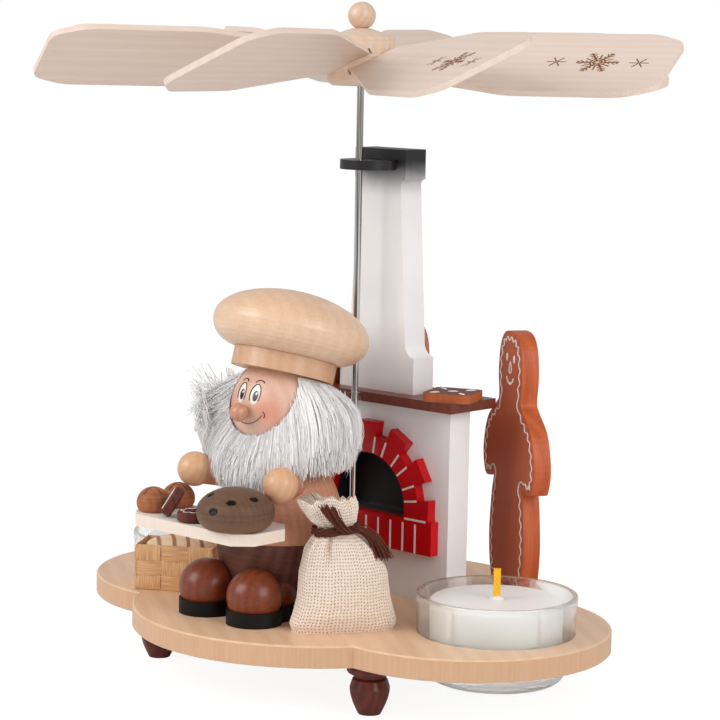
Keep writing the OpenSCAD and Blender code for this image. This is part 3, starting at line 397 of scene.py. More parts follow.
circle = add(sweep, "GeometryNodeCurvePrimitiveCircle", {"Resolution": given.outputs["Sides"], "Radius": 0.5})
size = add(sweep, "ShaderNodeCombineXYZ", {0: given.outputs["Width"], 1: given.outputs["Height"], 2: 1.0})
oval = add(sweep, "GeometryNodeTransform", {"Geometry": circle.outputs[0], "Scale": size.outputs[0]})
tube = add(sweep, "GeometryNodeCurveToMesh", {"Curve": thin.outputs[0], "Profile Curve": oval.outputs[0],
                                              "Fill Caps": True})
soft = add(sweep, "GeometryNodeSetShadeSmooth", {"Geometry": tube.outputs[0]})
end_tree(sweep, given, soft.outputs[0])


def drawn(name, paths, width, height, material, taper=0.0, sides=8, closed=False, outward=None):
    """Rods along paths of points in metres, as one piece on the base. Width and height are in mm."""
    points, edges, start = [], [], 0
    for path in paths:
        count = len(path)
        points.extend(tuple(p) for p in path)
        edges += [(start + i, start + i + 1) for i in range(count - 1)]
        if closed:
            edges.append((start + count - 1, start))
        start += count
    lines = bpy.data.meshes.new(name + "_paths")
    lines.from_pydata(points, edges, [])
    if outward is not None:
        lines.attributes.new("outward", "FLOAT_VECTOR", "POINT").data.foreach_set("vector", np.ravel(outward))
    mesh = made_by(sweep, lines, Width=width * MM, Height=height * MM, Taper=taper, Sides=sides, Finish=material)
    mesh.name = name
    return riding(name, mesh, "base")


half = [(x * MAN_W / 2, z * MAN_H) for x, z in MAN_HALF]
outline = even(smooth_loop(half + [(-x, z) for x, z in reversed(half)], 6), OUTLINE_STEP)
along = np.roll(outline, -3, 0) - np.roll(outline, 3, 0)
along /= np.linalg.norm(along, axis=1)[:, None]
inward = np.stack([-along[:, 1], along[:, 0]], 1)
turns = np.arange(len(outline)) * OUTLINE_STEP * 2 * math.pi / ICING_WAVE
spiky = np.where(outline[:, 1] < 10, 2.2, 0.9)
icing_line = outline + inward * (ICING_IN + spiky * np.sin(turns))[:, None]
icing_line[:, 1] = np.maximum(icing_line[:, 1], ICING_LOWEST)
smile = [(4.6 * math.sin(a), MAN_H * 0.84 - 4.2 * math.cos(a)) for a in np.linspace(-1.1, 1.1, 9)]
nose_drop = [(2.0 * math.sin(a) * math.sin(a / 2), MAN_H * 0.865 + 2.6 * math.cos(a))
             for a in np.linspace(0.1, 6.18, 22)]
drops = [blob((sx * MAN_EYE_X, MAN_H * 0.9, 0), MAN_EYE) for sx in (-1, 1)]
drops += [blob((x, z, 0), SMILE_DROP, across=10, up=3) for x, z in smile]
points, faces = joined(drops)
for side, where in men.items():
    stain = man_stain.copy()
    stain.name = "stained_gingerbread_" + side
    face_tint(stain, where, "#b15a3b")
    dress(stain, "gingerbread_man_" + side)
    for name, flat, width in (("man_icing_line_", icing_line, 0.8), ("man_nose_line_", nose_drop, 0.7)):
        line = placed([(x, -MAN_T / 2 - 0.05, z) for x, z in flat], where)
        drawn(name + side, [line], width, 0.6, icing, sides=6, closed=True)
    flat_out = where @ Matrix.Translation((0, -MAN_T / 2, 0)) @ Matrix.Rotation(math.radians(90), 4, "X")
    piece("man_drops_" + side, placed(points, flat_out), faces, icing, "base")

# Gnome's body
# Turned trousers and jacket of brown stained lime, one glued on the other, with round sleeves.
# Turning leaves fine rings round the axis under the matt varnish.


def middle(node):
    """Middle of a CAD node's box seen from above, in mm."""
    low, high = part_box(node)
    return (low.x + high.x) / 2 / MM, (low.y + high.y) / 2 / MM


GNOME = Vector((*middle("trousers"), DECK))


def turned_rings(material, spacing, depth, code, share):
    """Adds fine level rings, as a lathe leaves them, to a finish: spacing and depth in mm."""
    tree = material.node_tree
    place = tree.nodes["Texture Coordinate"].outputs["Object"]
    scaled = add(tree, "ShaderNodeMapping", {"Vector": place, "Scale": (4, 4, 1000)})
    lines = add(tree, "ShaderNodeTexNoise", {"Vector": scaled.outputs[0], "Scale": 1 / spacing, "Detail": 3.0})
    amount = add(tree, "ShaderNodeMapRange", {"Value": lines.outputs["Fac"], "From Min": 0.45, "From Max": 0.75,
                                              "To Max": share})
    laid_over(material, amount.outputs[0], colour(code))
    bump = add(tree, "ShaderNodeBump", {"Strength": 0.6, "Distance": depth * MM, "Height": lines.outputs["Fac"]})
    tree.links.new(bump.outputs[0], tree.nodes["Principled BSDF"].inputs["Normal"])
    return material


trouser_lime = wood("trouser_stain", "#74473b", "#532e26", ring=3.5, roughness=0.55, Specular_IOR_Level=0.3)
dress(turned_rings(trouser_lime, 1.1, 0.06, "#46251f", 0.4), "trousers")
jacket_lime = wood("jacket_stain", "#d69b7d", "#c08263", ring=3.5, rings=0.25, roughness=0.52, Specular_IOR_Level=0.35)
dress(turned_rings(jacket_lime, 1.1, 0.04, "#a4704f", 0.2), "jacket", "sleeve_left", "sleeve_right")

# Hands
# Plain turned balls of natural lime at the ends of the sleeves, clear varnished.
# The varnish lets the even, fine grain shine softly.
hand_lime = wood("natural_lime", "#dfb28c", "#cf9c72", turn=(0.4, 0.3, 0.2), ring=3.0, rings=0.2, roughness=0.4,
                 Coat_Weight=0.15, Coat_Roughness=0.3)
dress(hand_lime, "hand_left", "hand_right")

# Head
# A turned ball of pale maple with airbrushed red cheeks. Eyes, brows and mouth are thin brush
# strokes of a plain doll's face. The nose is a smaller, browner ball on a peg.
HEAD_UP, HEAD_R = 87.5, 21.5  # the ball's middle over the plate, and its radius
HEAD = GNOME + Vector((0, 0, HEAD_UP))
EYE_U, EYE_V, CHEEK_U, CHEEK_V = 3.9, 7.4, 10.5, 0.5
STROKE_LIFT = 0.12


def on_face(u, v, lift):
    """A point in metres on the head's front, u to its left hand and v up from its middle, lifted off the wood."""
    r = HEAD_R + lift
    return (HEAD + Vector((u, -math.sqrt(r * r - u * u - v * v), v))) * MM


skin = wood("natural_maple_face", "#e2bca9", "#d5a78e", turn=(0, math.radians(90), 0), ring=4.0, rings=0.3,
            roughness=0.4)
tree = skin.node_tree
for side in (-1, 1):
    away = add(tree, "ShaderNodeVectorMath", {0: tree.nodes["Texture Coordinate"].outputs["Object"],
                                              1: on_face(side * CHEEK_U, CHEEK_V, 0)}, operation="DISTANCE")
    blush = add(tree, "ShaderNodeMapRange", {"Value": away.outputs["Value"], "From Min": 1 * MM, "From Max": 9.5 * MM,
                                             "To Min": 0.6, "To Max": 0.0}, interpolation_type="SMOOTHSTEP")
    laid_over(skin, blush.outputs[0], colour("#d9795f"))
dress(skin, "head")
dress(wood("tanned_nose", "#d09a7c", "#ba8062", turn=(0, 0, math.radians(90)), ring=2.0, roughness=0.38,
           Coat_Weight=0.2, Coat_Roughness=0.25), "nose")


def face_patch(u, v, half_u, half_v, lift, across=28):
    """A flat oval of paint on the head, as (points, faces) in metres. Its edge lies a little lower."""
    points = [on_face(u, v, lift)]
    for ring, height in ((0.5, lift), (1.0, lift - 0.03)):
        for i in range(across):
            a = 2 * math.pi * i / across
            points.append(on_face(u + ring * half_u * math.cos(a), v + ring * half_v * math.sin(a), height))
    rim = [f[::-1] for f in between_rings(2, across, 1)]
    return points, fan(0, 1, across) + rim


eye_white = paint("eye_white_paint", "#f5f1ea", "#ece6dc", 0.35, grit=1.0)
eye_black = paint("eye_black_paint", "#17120f", "#241b16", 0.3, grit=1.0)
brush_brown = paint("brush_line_brown", "#5a2f1c", "#472313", 0.45, grit=1.0)
eyes = (-EYE_U, EYE_U)
points, faces = joined([face_patch(u, EYE_V, 2.3, 4.0, 0.10) for u in eyes])
piece("eye_whites", points, faces, eye_white, "base")
points, faces = joined([face_patch(u + 0.4, EYE_V - 0.5, 1.3, 2.2, 0.18) for u in eyes])
piece("pupils", points, faces, eye_black, "base")
points, faces = joined([face_patch(u + 0.8, EYE_V + 0.5, 0.45, 0.6, 0.24, across=12) for u in eyes])
piece("eye_glints", points, faces, eye_white, "base")


def stroke(u, v, half_u, half_v, start, end, count):
    """A brush stroke on the face, along an oval from one angle to another, counted from its top."""
    return [on_face(u + half_u * math.sin(a), v + half_v * math.cos(a), STROKE_LIFT)
            for a in np.linspace(start, end, count)]


strokes = []
for u in eyes:
    strokes.append(stroke(u, EYE_V, 2.4, 4.15, -2.2, 2.2, 18))
    strokes.append(stroke(u * 1.08, 11.0, 2.6, 2.3, -1.0, 1.0, 11))
strokes.append(stroke(0, 3.4, 9.4, -8.6, -1.05, 1.05, 25))
for side in (-1, 1):
    strokes.append([on_face(side * (8.2 + 1.2 * math.cos(a)), -0.8 + 1.5 * math.sin(a), STROKE_LIFT)
                    for a in np.linspace(-0.9, 1.3, 7)])
drawn("face_strokes", strokes, 0.62, 0.24, brush_brown, sides=6)

# Beard and hair
# Long straight white faux fur, glued round the face and under the cap. The locks stand out at the
# sides and fall over the shoulders, a little grey inside and rosy at the lower ends.
FACE_TILT, FACE_EDGE = math.radians(28), math.radians(53)  # the bare face looks up, this wide round its middle
CAP_EDGE, CAP_SLOPE = 100.5, math.tan(math.radians(16))  # the cap's lower edge over the plate
LOWEST_RISE, RISE_STEP = -0.85, 0.02  # of the roots on the head
JACKET_FOOT, JACKET_TOP = 34.5, 66.0
HAND, HAND_ROOM = (26.0, -26, 60), 8.0
FUR_MIDDLE, FUR_LOWEST, SHOULDER = 74.0, 50.2, 73
UP = np.array([0, 0, 1.0])
fur_finish, tree, place = new_finish("white_faux_fur", 0.6, Sheen_Weight=1.0, Sheen_Roughness=1.0)
long_way = add(tree, "ShaderNodeMapping", {"Vector": place, "Scale": (1000, 1000, 120)})
streak = add(tree, "ShaderNodeTexNoise", {"Vector": long_way.outputs[0], "Scale": 0.35, "Detail": 2.0})
share = add(tree, "ShaderNodeMapRange", {"Value": streak.outputs["Fac"], "From Min": 0.42, "From Max": 0.72})
coloured(tree, share.outputs[0], "#fefefe", "#f9f8f8")
parts = add(tree, "ShaderNodeSeparateXYZ", {0: place})
low = add(tree, "ShaderNodeMapRange", {"Value": parts.outputs["Z"], "From Min": 79 * MM, "From Max": 100 * MM,
                                       "To Min": 0.3, "To Max": 0.0})
rosy = add(tree, "ShaderNodeMath", {0: low.outputs[0], 1: share.outputs[0]}, operation="MULTIPLY")
laid_over(fur_finish, rosy.outputs[0], colour("#d9b0a4"))
chance = np.random.default_rng(7)
face_way = np.array([0, -math.cos(FACE_TILT), math.sin(FACE_TILT)])
chin_way = np.array([0, -math.sin(FACE_TILT), -math.cos(FACE_TILT)])
jacket_t = np.linspace(0, 1, 25)
jacket_r = 14 + 14.5 * np.cos(jacket_t * math.pi / 2) ** 0.75
jacket_h = JACKET_FOOT + (JACKET_TOP - JACKET_FOOT) * np.sin(jacket_t * math.pi / 2) * (0.35 + 0.65 * jacket_t)


def from_face(theta, phi):
    """Direction from the head's middle: theta away from where the face looks, phi round it from the chin."""
    round_face = math.cos(phi) * chin_way + math.sin(phi) * np.array([1, 0, 0])
    return math.cos(theta) * face_way + math.sin(theta) * round_face


def fur_reach(z):
    """Radius of the fur's outside at a height above the plate, in mm."""
    return 36.5 - 11.0 * np.clip((84 - z) / 34, 0, 1) ** 1.5


def way_out(heading, rise):
    """Direction from the head's middle by its turn from the front and its rise over the level."""
    return np.array([math.cos(rise) * math.sin(heading), -math.cos(rise) * math.cos(heading), math.sin(rise)])


def highest_root(heading):
    """Rise of the highest root at a heading: at the edge of the cap, or below the face."""
    rise, low_enough = LOWEST_RISE, True
    while low_enough:
        rise += RISE_STEP
        way = way_out(heading, rise)
        low_enough = (way @ face_way < math.cos(FACE_EDGE + 0.05)
                      and HEAD_R * way[2] + HEAD_UP < CAP_EDGE - CAP_SLOPE * HEAD_R * way[1])
    return rise - RISE_STEP


highest = [highest_root(math.radians(k)) for k in range(181)]


def fall_of_lock(heading, side, layer, tip_z, bow):
    """Root, bend and tip of a lock round the gnome's axis, in mm above the plate. A tuft stands out on its right."""
    way = way_out(heading, LOWEST_RISE + (highest[int(math.degrees(heading))] - LOWEST_RISE) * layer)
    root = (HEAD_R + 1.0) * way + HEAD_UP * UP
    tuft = max(0.0, math.sin((heading - 0.7) / 1.3 * math.pi)) if side < 0 and heading < 2.0 else 0.0
    tip_z += 4 * tuft
    tip_r = fur_reach(tip_z) * (0.8 + 0.2 * layer) * (1 + 0.2 * tuft)
    tip = np.array([tip_r * math.sin(heading), -tip_r * math.cos(heading), tip_z])
    bend = (root + tip) / 2 + bow * way_out(heading, 0.45)
    return [p * np.array([side, 1, 1]) for p in (root, bend, tip)]


def side_share(heading):
    """How far a heading is from the front, up to 1 at the sides."""
    return min(1.0, heading / 1.25) ** 2


def bent(root, bend, tip, t):
    """Point or points of a lock's curve at t, from 0 at the root to 1 at the tip."""
    return (1 - t) ** 2 * root + 2 * t * (1 - t) * bend + t ** 2 * tip


def lock_of_hair(front, side):
    """One lock by chance: long under the chin and shorter at the sides, with a few that stand off."""
    heading = chance.uniform(0, 1.6) if front else chance.uniform(1.5, 3.14)
    sideways = side_share(heading)
    tip_z = chance.uniform(50.5, 58) * (1 - sideways) + chance.uniform(61, 73) * sideways
    layer = chance.uniform(0.45, 1) ** 0.8
    root, bend, tip = fall_of_lock(heading, side, layer, tip_z, 1.5 + 6 * sideways * layer + chance.uniform(0, 3.5))
    if side < 0 and 0.8 < heading < 1.9 and chance.random() < 0.12:
        tip = tip * np.array([1.08, 1.08, 0]) + chance.uniform(78, 92) * UP
    return root, bend, tip


def unit(ways):
    """Directions made 1 long."""
    return ways / np.linalg.norm(ways, axis=1)[:, None]


def fur_paths(front, side, locks, strands, loose, steps):
    """Paths in metres, combed in locks and kept off face, hands and jacket, and where their points face."""
    t = np.linspace(0, 1, steps)[:, None]
    hand = np.array(HAND) * np.array([side, 1, 1])
    widest = 37.4 if side > 0 or not front else 47.0
    paths, outward = [], []
    for _ in range(locks):
        root, bend, tip = lock_of_hair(front, side)
        for _ in range(strands):
            beside = loose * np.clip(chance.normal(0, 1.2, 3), -2.2, 2.2)
            b = bend + beside + loose * chance.normal(0, 0.5, 3)
            c = tip + 0.6 * beside + loose * chance.normal(0, 0.7, 3) + chance.exponential(3.0) * UP
            path = bent(root + 0.5 * beside, b, c, t)
            gap = path - hand
            near = np.linalg.norm(gap, axis=1)[:, None]
            path = np.where(near < HAND_ROOM, hand + gap / near * HAND_ROOM, path)
            wide = np.maximum(np.hypot(path[:, 0], path[:, 1]), 1e-6)
            least = np.where(path[:, 2] < JACKET_TOP, np.interp(path[:, 2], jacket_h, jacket_r) + 0.5, 0)
            most = np.where(path[:, 2] > SHOULDER, widest, fur_reach(path[:, 2]) + 0.9)
            path[:, :2] *= (np.minimum(np.maximum(wide, least), most) / wide)[:, None]
            path[:, 2] = np.clip(path[:, 2], FUR_LOWEST, CAP_EDGE + 0.5 - CAP_SLOPE * path[:, 1])
            if (unit(path - HEAD_UP * UP) @ face_way).max() > math.cos(FACE_EDGE):
                continue
            paths.append((path + np.array(GNOME)) * MM)
            outward.append(unit((path - FUR_MIDDLE * UP) * np.array([1, 1, 0.6])))
    return paths, outward


for name, front, side in (("beard", True, 1), ("beard", True, -1), ("hair", False, 1), ("hair", False, -1)):
    title = name + ("_left" if side > 0 else "_right")
    paths, outward = fur_paths(front, side, 2200, 1, 0.0, 7)
    locks = drawn(title + "_locks", paths, 0.36, 0.62, fur_finish, taper=0.97, sides=5, outward=outward)
    paths, outward = fur_paths(front, side, 230, 18, 1.2, 5)
    drawn(title + "_strands", paths, 0.06, 0.16, fur_finish, taper=0.8, sides=3, outward=outward)
    if side > 0:
        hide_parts(name)

# The skirt is the fur's ground under the locks, which hang from it all round.
SKIRT_STEPS, SKIRT_ROWS = 240, 10
ripple = np.convolve(chance.normal(0, 1, 2 * SKIRT_STEPS), np.hanning(9), "same")[:SKIRT_STEPS]
points, faces = [], []
for k in range(SKIRT_STEPS):
    turn = 2 * math.pi * (k + 0.5) / SKIRT_STEPS
    heading, side = min(turn, 2 * math.pi - turn), 1 if turn < math.pi else -1
    sideways = side_share(heading)
    lock = fall_of_lock(heading, side, 0.66, 60 + 11 * sideways + 1.2 * ripple[k],
                        1.0 + 3.5 * sideways + 0.35 * ripple[k])
    outer = [bent(*lock, t) for t in np.linspace(0, 1, SKIRT_ROWS)]
    inner = [p * np.array([0.8, 0.8, 1]) + UP for p in reversed(outer)]
    points += [(Vector(p) + GNOME) * MM for p in outer + inner]
ring = 2 * SKIRT_ROWS
for k in range(SKIRT_STEPS):
    a, b = k * ring, (k + 1) % SKIRT_STEPS * ring
    faces += [(a + i, b + i, b + (i + 1) % ring, a + (i + 1) % ring) for i in range(ring)]
piece("fur_skirt", points, faces, fur_finish, "base")

# The backing covers the head behind the face, up to the cap.
PAD_STEPS, PAD_ROWS, PAD_T = 72, 24, 1.2
points = []
for row in range(PAD_ROWS):
    theta = FACE_EDGE + (math.pi - FACE_EDGE) * row / PAD_ROWS
    swell = math.sin(min(1.0, row / 8) * math.pi / 2)
    for k in range(PAD_STEPS):
        p = (HEAD_R - 0.6 + 1.8 * swell) * from_face(theta, 2 * math.pi * k / PAD_STEPS)
        p[2] = min(p[2] + HEAD_UP, CAP_EDGE + 0.1 - CAP_SLOPE * p[1])
        points.append((Vector(p) + GNOME) * MM)
points.append((Vector((HEAD_R + PAD_T) * -face_way + HEAD_UP * UP) + GNOME) * MM)
faces = between_rings(PAD_ROWS, PAD_STEPS) + fan(len(points) - 1, (PAD_ROWS - 1) * PAD_STEPS, PAD_STEPS)
faces.append(tuple(range(PAD_STEPS - 1, -1, -1)))
piece("fur_backing", points, faces, fur_finish, "base")

# Cap
# A baker's cap turned from pale alder: a straight band and a puffed top, glued on the head at a
# slant. The satin varnish lets the grain shine.
cap_alder = wood("satin_alder", "#e8c8ab", "#dbb491", turn=(0.15, 0, math.radians(20)), ring=6.0, rings=0.15,
                 roughness=0.36, Coat_Weight=0.25, Coat_Roughness=0.25)
dress(cap_alder, "cap_top")
band_maple = wood("satin_band_maple", "#d5ad8b", "#c79875", turn=(0.15, 0, math.radians(70)), ring=5.0, rings=0.3,
                  roughness=0.38, Coat_Weight=0.2, Coat_Roughness=0.3)
dress(band_maple, "cap_band")

# Shoes
# Round toes of brown stained beech with a gloss varnish, on thick black soles.
# The toes are turned, and the soles are sawn from board and glued under them.
shoe_beech = wood("glossy_shoe_stain", "#853c1e", "#5f2812", turn=(0, 0, math.radians(75)), ring=4.0, rings=0.2,
                  roughness=0.38, Specular_IOR_Level=0.35, Coat_Weight=0.25, Coat_Roughness=0.25)
dress(shoe_beech, "shoe_left", "shoe_right")
dress(paint("black_sole_paint", "#0c0b0a", "#141210", 0.5, Specular_IOR_Level=0.2), "sole_left", "sole_right")

# Tray
# A thin board of very pale maple with cut corners, glued into a notch in the jacket.
# It is only sanded, so it looks nearly white, and a little warmer at its sawn edge.
TRAY_TOP = DECK + 43
tray_maple = edged_wood("natural_tray_maple", "#faf3ee", "#f1e5dc", "#f3e6da", "#e6d2c0", ring=5.0, rings=0.25,
                        roughness=0.5)
dress(tray_maple, "tray")

# Loaf and rolls
# Turned breads with a stained crust. The loaf has oval dents that are burnt black, and each roll
# is slit across twice. Lathe rings show on their sides.
LOAF_R, LOAF_H, LOAF_LOW, LOAF_FOOT = 16.3, 17.5, 17.5 * 0.42, 0.6
ROLL_R, ROLL_H, ROLL_LOW, ROLL_FOOT = 14.4 / 2, 10.5, 10.5 * 0.35, 0.72
DENT_LONG, DENT_SHORT, BURN_DEPTH = 2.1, 1.5, 0.8
SLIT_HALF, SLIT_LOWEST, SLIT_REACH = 0.55, 6.5, 5.6
AROUND_BREAD = 240
DENTS = ((-52, 0.68), (-80, 0.26), (-3, 0.78), (-120, 0.85), (157, 1.2), (100, 0.6), (45, 0.25), (-170, 0.4))


def oval_profile(r, h, low, foot):
    """Outline of a turned bread from its foot to its crown, as (radius, height) in mm."""
    lower = [(foot * r + (1 - foot) * r * math.cos(a), low + low * math.sin(a))
             for a in np.linspace(-math.pi / 2, 0, 9)]
    upper = [(r * math.cos(a), low + (h - low) * math.sin(a)) for a in np.linspace(0.08, math.pi / 2, 34)]
    return [(0.0, 0.0)] + lower + upper[:-1] + [(0.0, h)]


def bread(name, node, outline, burn, material):
    """A spun bread whose surface sinks where burn(x, y, z) is 1. The burn is kept as a point attribute."""
    points, burnt = [], []
    for r, z in outline:
        for i in range(1 if r == 0 else AROUND_BREAD):
            a = 2 * math.pi * i / AROUND_BREAD
            x, y = r * math.cos(a), r * math.sin(a)
            mark = burn(x, y, z)
            points.append((x * (1 - 0.03 * mark), y * (1 - 0.03 * mark), z - BURN_DEPTH * mark))
            burnt.append(mark)
    rows = len(outline) - 2
    faces = [f[::-1] for f in fan(0, 1, AROUND_BREAD)] + between_rings(rows, AROUND_BREAD, 1)
    faces += fan(len(points) - 1, 1 + (rows - 1) * AROUND_BREAD, AROUND_BREAD)
    where = Matrix.Translation((*middle(node), TRAY_TOP))
    made = piece(name, placed(points, where), faces, material, "base")
    made.data.attributes.new("burnt", "FLOAT", "POINT").data.foreach_set("value", burnt)
    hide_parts(node)


def crust(name, top, below, split, roughness):
    """A stained bread crust: lighter below the split height in mm, burnt where the attribute says so."""
    stain = wood(name, top, below, ring=2.5, rings=0.2, roughness=roughness, Specular_IOR_Level=0.2)
    material = turned_rings(stain, 0.9, 0.08, "#3c2f27", 0.35)
    band_of_colour(material, below, split, split - 3.5)
    burn = add(material.node_tree, "ShaderNodeAttribute", attribute_name="burnt")
    share = add(material.node_tree, "ShaderNodeMapRange", {"Value": burn.outputs["Fac"], "From Min": 0.25,
                                                           "From Max": 0.75})
    laid_over(material, share.outputs[0], colour("#0a0706"))
    return material


def oval_dents(x, y, z):
    """Burn mark of the loaf's oval dents."""
    best, r, turn = 0.0, math.hypot(x, y), math.atan2(y, x)
    for degrees, t in DENTS:
        away, height = LOAF_R * math.cos(t), LOAF_LOW + (LOAF_H - LOAF_LOW) * math.sin(t)
        u = math.remainder(turn - math.radians(degrees), 2 * math.pi) * (r + away) / 2
        d = math.hypot(u / DENT_LONG, math.hypot(r - away, z - height) / DENT_SHORT)
        best = max(best, min(1.0, max(0.0, (1.2 - d) / 0.3)))
    return best


def crossed_slits(x, y, z):
    """Burn mark of two slits that cross on the crown."""
    near = min(abs(x), abs(y))
    return max(0.0, 1 - near / SLIT_HALF) if z > SLIT_LOWEST and math.hypot(x, y) < SLIT_REACH else 0.0


loaf_crust = crust("grey_loaf_crust", "#614738", "#765642", TRAY_TOP + 6.5, 0.45)
bread("loaf_crust", "loaf", oval_profile(LOAF_R, LOAF_H, LOAF_LOW, LOAF_FOOT), oval_dents, loaf_crust)
roll_crust = crust("brown_roll_crust", "#98583a", "#ae704b", TRAY_TOP + 2.5, 0.42)
for name in ("roll_front", "roll_back"):
    bread(name + "_crust", name, oval_profile(ROLL_R, ROLL_H, ROLL_LOW, ROLL_FOOT), crossed_slits, roll_crust)

# Iced rings
# Small turned rings stained like chocolate, one lying and one leaning over beside it, each with a
# thin wavy line of white icing on its upper face.
RING_R, RING_T, RING_EDGE, LEAN_ROOM, LEAN_BACK = 6.7, 4.5, 0.8, 3.0, 0.7
LEAN, LEAN_TURN = math.radians(32), math.radians(43)
chocolate = wood("chocolate_stain", "#70392b", "#50261b", ring=2.0, roughness=0.45, Specular_IOR_Level=0.2)
dress(turned_rings(chocolate, 1.0, 0.05, "#25100b", 0.4), "ring_flat", "ring_leaning")
x, y = middle("ring_flat")
ring_flat = Matrix.Translation((x, y, TRAY_TOP))
ring_leaning = (Matrix.Translation((x - RING_R - RING_T - LEAN_ROOM, y - LEAN_BACK,
                                    TRAY_TOP - RING_EDGE * math.sin(LEAN)))
                @ Matrix.Rotation(LEAN_TURN, 4, "Z") @ Matrix.Rotation(LEAN - math.pi / 2, 4, "Y")
                @ Matrix.Translation((RING_R, 0, 0)))
wavy = []
for a in np.linspace(0, 2 * math.pi, 91)[:-1]:
    r = 4.6 + 0.7 * math.sin(7 * a)
    wavy.append((r * math.cos(a), r * math.sin(a), RING_T))
for name, where in (("ring_icing_flat", ring_flat), ("ring_icing_leaning", ring_leaning)):
    drawn(name, [placed(wavy, where)], 0.42, 0.36, icing, sides=6, closed=True)

# Basket
# Woven from thin wood splints: broad uprights, and three level strips that pass in front of and
# behind them by turns. Pale rolls with brown stripes fill it.
BASKET_W, BASKET_D, BASKET_H, BASKET_ROWS = 36.0, 22.0, 20.0, 3
BASKET_TURN, ROW_H, BASKET_GIRTH = math.radians(33), BASKET_H / BASKET_ROWS, 2 * (BASKET_W + BASKET_D)
SPLINT_T, SPLINT_IN, SPLINT_SWING = 0.45, 0.75, 0.42
# Length, way along and number of uprights of each wall, from a front corner on.
WALLS = ((BASKET_W, Vector((1, 0, 0)), 3), (BASKET_D, Vector((0, 1, 0)), 2), (BASKET_W, Vector((-1, 0, 0)), 3),
         (BASKET_D, Vector((0, -1, 0)), 2))
LEVEL = Vector((0, 0, 1))
splint, tree, _ = new_finish("split_wood", 0.55)
way = add(tree, "ShaderNodeUVMap", uv_map="along")
long_way = add(tree, "ShaderNodeMapping", {"Vector": way.outputs[0], "Scale": (0.06, 1.0, 1.0)})
fibre = add(tree, "ShaderNodeTexNoise", {"Vector": long_way.outputs[0], "Scale": 1.6, "Detail": 4.0})
share = add(tree, "ShaderNodeMapRange", {"Value": fibre.outputs["Fac"], "From Min": 0.3, "From Max": 0.7})
coloured(tree, share.outputs[0], "#f2c693", "#c99160", fibre.outputs["Fac"], 0.6, 0.1)


def strip(path, across, outward, width, thick):
    """A flat strip along a path, as (points, faces, uv): across is the direction of its width."""
    points, uv = [], []
    run = 0.0
    for i, p in enumerate(path):
        run += (p - path[i - 1]).length if i else 0.0
        for side, layer in ((-1, 1), (1, 1), (1, -1), (-1, -1)):
            points.append(p + across * (side * width / 2) + outward[i] * (layer * thick / 2))
            uv.append((run, side * width / 2 + layer))
    last = len(points) - 4
    return points, between_rings(len(path), 4) + [(3, 2, 1, 0), (last, last + 1, last + 2, last + 3)], uv


def basket_side(run):
    """Place and outward direction on the basket's wall at a length round it, in mm from a front corner."""
    p = Vector((-BASKET_W / 2, -BASKET_D / 2, 0))
    run = run % BASKET_GIRTH
    wall = 0
    while run > WALLS[wall][0]:
        length, way, _ = WALLS[wall]
        p += way * length
        run -= length
        wall += 1
    way = WALLS[wall][1]
    return p + way * run, way.cross(LEVEL)


def gap_round(upright, run):
    """The shorter way round the wall from an upright to a length."""
    gap = abs(upright[0] - run % BASKET_GIRTH)
    return min(gap, BASKET_GIRTH - gap)


uprights = []  # the length round the wall where each stands, and its room
start = 0.0
for length, _, count in WALLS:
    uprights += [(start + length * (i + 0.5) / count, length / count) for i in range(count)]
    start += length
strips = []
for row in range(BASKET_ROWS):
    path, outward = [], []
    for run in np.arange(0, BASKET_GIRTH + 0.1, 1.0):
        p, out = basket_side(run + 0.01)
        nearest = min(range(len(uprights)), key=lambda i: gap_round(uprights[i], run))
        over = 1 if (nearest + row) % 2 else -1
        share = min(1.0, gap_round(uprights[nearest], run) / (uprights[nearest][1] / 2))
        swing = over * math.cos(share * math.pi / 2)
        path.append(p - out * SPLINT_IN + out * SPLINT_SWING * swing + LEVEL * ROW_H * (row + 0.5))
        outward.append(out)
    strips.append(strip(path, LEVEL, outward, ROW_H - 0.35, SPLINT_T))
for i, (run, width) in enumerate(uprights):
    p, out = basket_side(run)
    path = []
    for z in np.linspace(0.2, BASKET_H + 0.3, 31):
        row = min(BASKET_ROWS - 1, int(z / ROW_H))
        over = -1 if (i + row) % 2 else 1
        swing = over * math.cos((z / ROW_H - row - 0.5) * math.pi)
        path.append(p - out * SPLINT_IN + out * SPLINT_SWING * swing + LEVEL * z)
    strips.append(strip(path, LEVEL.cross(out), [out] * len(path), width - 0.5, SPLINT_T))
floor_path = [Vector((x, 0, 0.8)) for x in np.linspace(-BASKET_W / 2 + 1.2, BASKET_W / 2 - 1.2, 8)]
strips.append(strip(floor_path, Vector((0, 1, 0)), [LEVEL] * 8, BASKET_D - 2.4, 0.8))
points, faces = joined([(p, f) for p, f, _ in strips])
basket_at = Matrix.Translation((*middle("basket"), DECK)) @ Matrix.Rotation(BASKET_TURN, 4, "Z")
basket = piece("basket_weave", placed(points, basket_at), faces, splint, "base", smooth=False)
along_uv = [pair for _, _, uv in strips for pair in uv]
layer = basket.data.uv_layers.new(name="along")
for corner in basket.data.loops:
    layer.data[corner.index].uv = along_uv[corner.vertex_index]
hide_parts("basket")
striped_roll = wood("striped_roll", "#ecd2b4", "#dab78f", turn=(0, 0, -BASKET_TURN), ring=4.0, roughness=0.5)
tree = striped_roll.node_tree
turned = add(tree, "ShaderNodeMapping", {"Vector": tree.nodes["Texture Coordinate"].outputs["Object"],
                                         "Rotation": (0, 0, -BASKET_TURN - math.radians(25))})
bands = add(tree, "ShaderNodeTexWave", {"Vector": turned.outputs[0], "Scale": WAVE / (6 * MM), "Distortion": 1.5,
                                        "Detail": 2.0}, bands_direction="X")
share = add(tree, "ShaderNodeMapRange", {"Value": bands.outputs["Fac"], "From Min": 0.72, "From Max": 0.92,
                                         "To Max": 0.85})
